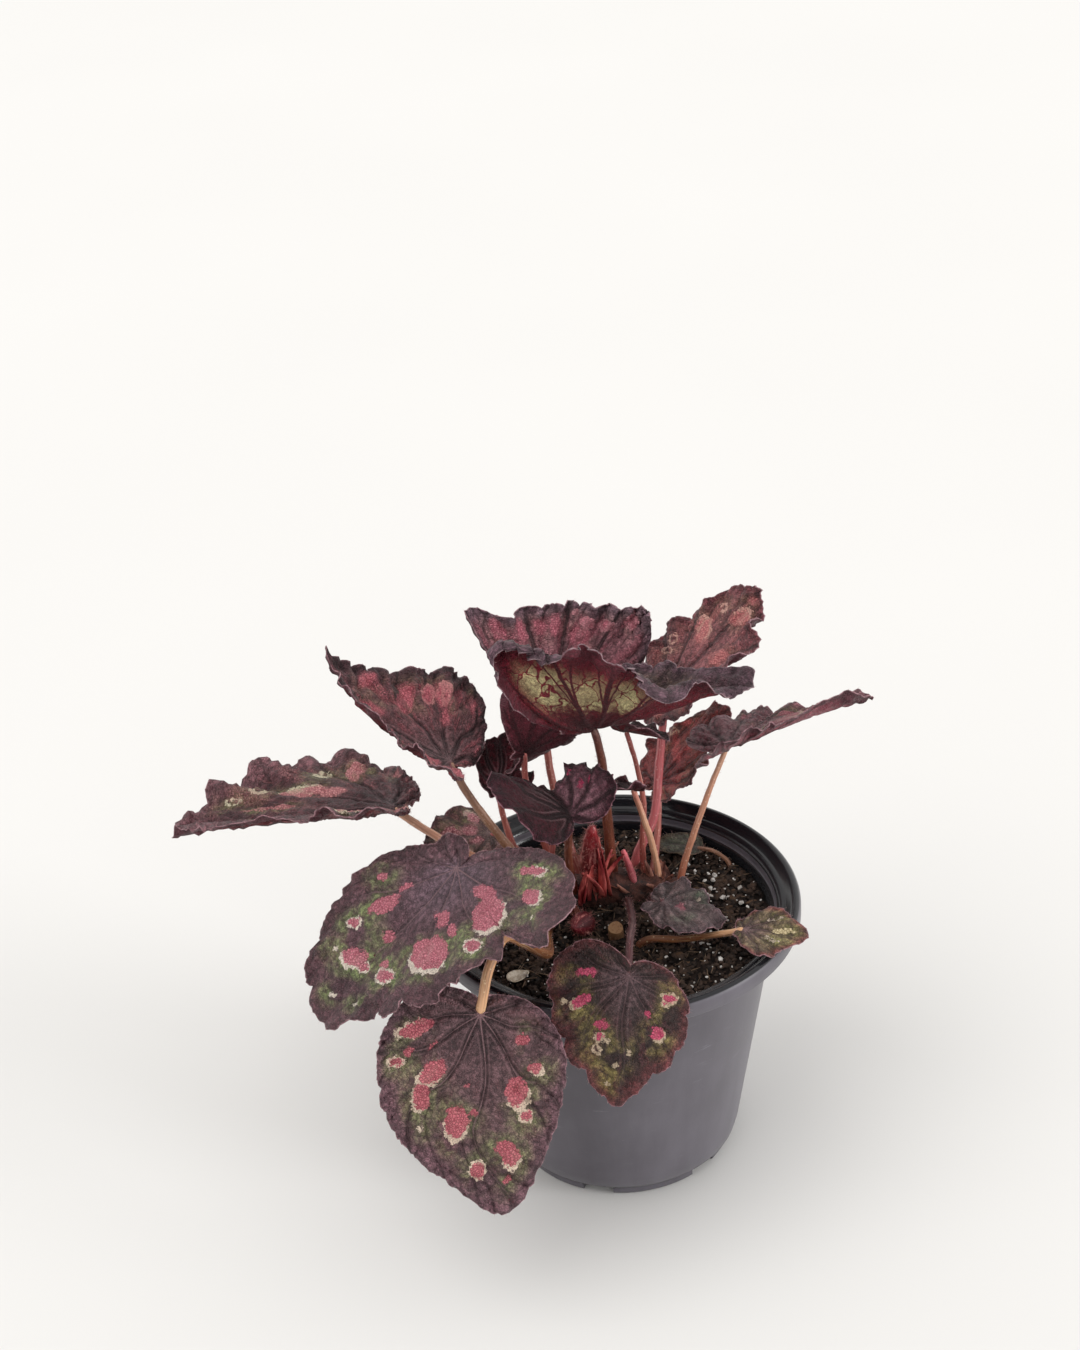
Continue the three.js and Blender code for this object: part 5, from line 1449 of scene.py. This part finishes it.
for number, (name, (route, girths, colour, hairs, stripes)) in enumerate(BUDS.items()):
    darker, lighter = tuple(v * 0.8 for v in colour), tuple(min(255, v * 1.12) for v in colour)
    skin = stem_skin(name + "_skin", colour, darker, lighter, (214, 140, 134), stripes=stripes)
    bud = build_stem(name + "_shoot", route, girths, {**WOOLLY, "Skin": skin, "Hairs per square metre": hairs,
                                                      "Hair skin": BUD_HAIR, "Seed": 90 + number})
    settle(bud, name)

root_skin = mottled_skin("rhizome_skin", (30, 17, 15), (86, 50, 42), 220, 0.7, 0.0009)
root_hair = mottled_skin("rhizome_hair", (70, 40, 34), (140, 96, 80), 220, 0.6, 0.0)
root_route = [[-29, 17, 87], [-20, 14, 90], [-6, 13, 91.5], [9, 14, 91], [20, 14, 89.5], [27, 15, 87]]
rhizome = build_stem("creeping_rhizome", root_route, [3, 5, 6.5, 6.5, 5, 3], {
    **WOOLLY, "Sides": 36, "Unevenness": 3.4 * MM, "Lump size": 240.0, "Skin": root_skin, "Seed": 71,
    "Hairs per square metre": 9e5, "Hair length": 2.2 * MM, "Hair skin": root_hair})
settle(rhizome, "rhizome")

red_stipules = mottled_skin("red_stipule_skin", (116, 26, 32), (206, 104, 98), 190, 0.5, 0.0003, (1, 1, 0.3))
stipules = build_stipules("red_stipules", red_stipules, ((-12, -1), (4, 10), (91, 95)), (13, 25), (1, 15), 16)
settle(stipules, None)
dry_stipules = mottled_skin("dry_stipule_skin", (72, 36, 30), (186, 128, 110), 170, 0.65, 0.0003, (1, 1, 0.3))
stipules = build_stipules("dried_stipules", dry_stipules, ((-26, 20), (8, 19), (89, 93)), (7, 14),
                          (15, 60), 26)
settle(stipules, None)

stub_skin = stem_skin("cut_stub_skin", (88, 56, 40), (104, 72, 50), (150, 112, 78), (170, 134, 98), 0.6)
stub = build_stem("cut_stalk_stub", [[0, -9.1, 84.1], [0, -9.5, 88.5], [0, -10.9, 92.8]], [3.1, 2.7, 2.5],
                  {**WOOLLY, "Unevenness": 0.7 * MM, "Skin": stub_skin, "Hairs per square metre": 2e5,
                   "Hair length": 0.9 * MM, "Hair skin": HAIR, "Seed": 77}, blunt=True)
settle(stub, "cut_stub")
bract_skin = mottled_skin("bract_skin", (176, 158, 134), (222, 212, 196), 420, 0.6, 0.0002)
settle(build_bract(bract_skin), "dried_bract")

soil = build_soil(mottled_skin("potting_mix_skin", (9, 7, 6), (42, 32, 28), 520, 0.8, 0.0013, specular=0.15))
settle(soil, "soil")
crumb_skin = mottled_skin("crumb_skin", (15, 11, 10), (74, 58, 49), 210, 0.75, 0.0004, specular=0.25)
bark_skin = mottled_skin("bark_skin", (30, 21, 17), (88, 66, 50), 160, 0.75, 0.0005, (1, 1, 3), 0.25)
fibre_skin = mottled_skin("fibre_skin", (44, 33, 27), (128, 106, 86), 90, 0.7, 0.0, specular=0.25)
perlite_skin = mottled_skin("perlite_skin", (160, 154, 148), (232, 229, 224), 420, 0.75, 0.0003, specular=0.3)


def even(x, y):
    """The same amount everywhere"""
    return np.ones_like(x + y)


def bright_patches(x, y):
    """Perlite lies mostly to the right of the front, in loose drifts"""
    drift = wander(x, "drift", 0.05, 0.2) + wander(y, "drifts", 0.05, 0.2)
    return np.clip(0.35 + 0.5 * drift + 0.012 * x - 0.006 * y, 0.08, 2)


for name, count, weight, smallest, largest, long, flatness, chipping, chip_size, lift, skin in (
        ("soil_crumbs", 3200, even, 0.7, 2.0, 1.8, 0.7, 1.1, 800, 0.5, crumb_skin),
        ("soil_clods", 300, even, 2.0, 3.8, 1.5, 0.6, 1.8, 420, 0.2, crumb_skin),
        ("bark_chips", 240, even, 0.8, 1.8, 3.2, 0.4, 0.8, 600, 0.9, bark_skin),
        ("root_fibres", 420, even, 0.22, 0.4, 26.0, 1.0, 0.5, 160, 1.1, fibre_skin),
        ("grit", 300, even, 0.35, 0.8, 1.4, 0.8, 0.2, 900, 1.2, perlite_skin),
        ("perlite", 150, bright_patches, 0.6, 2.0, 1.5, 0.65, 1.3, 800, 0.9, perlite_skin)):
    grains = lay_grains(name, count, lift, weight, {
        "Smallest": smallest * MM, "Largest": largest * MM, "Length": long, "Flatness": flatness,
        "Chipping": chipping * MM, "Chip size": float(chip_size), "Skin": skin, "Seed": len(name)})
    settle(grains, None)

settle(build_pot(pot_skin()), "pot")
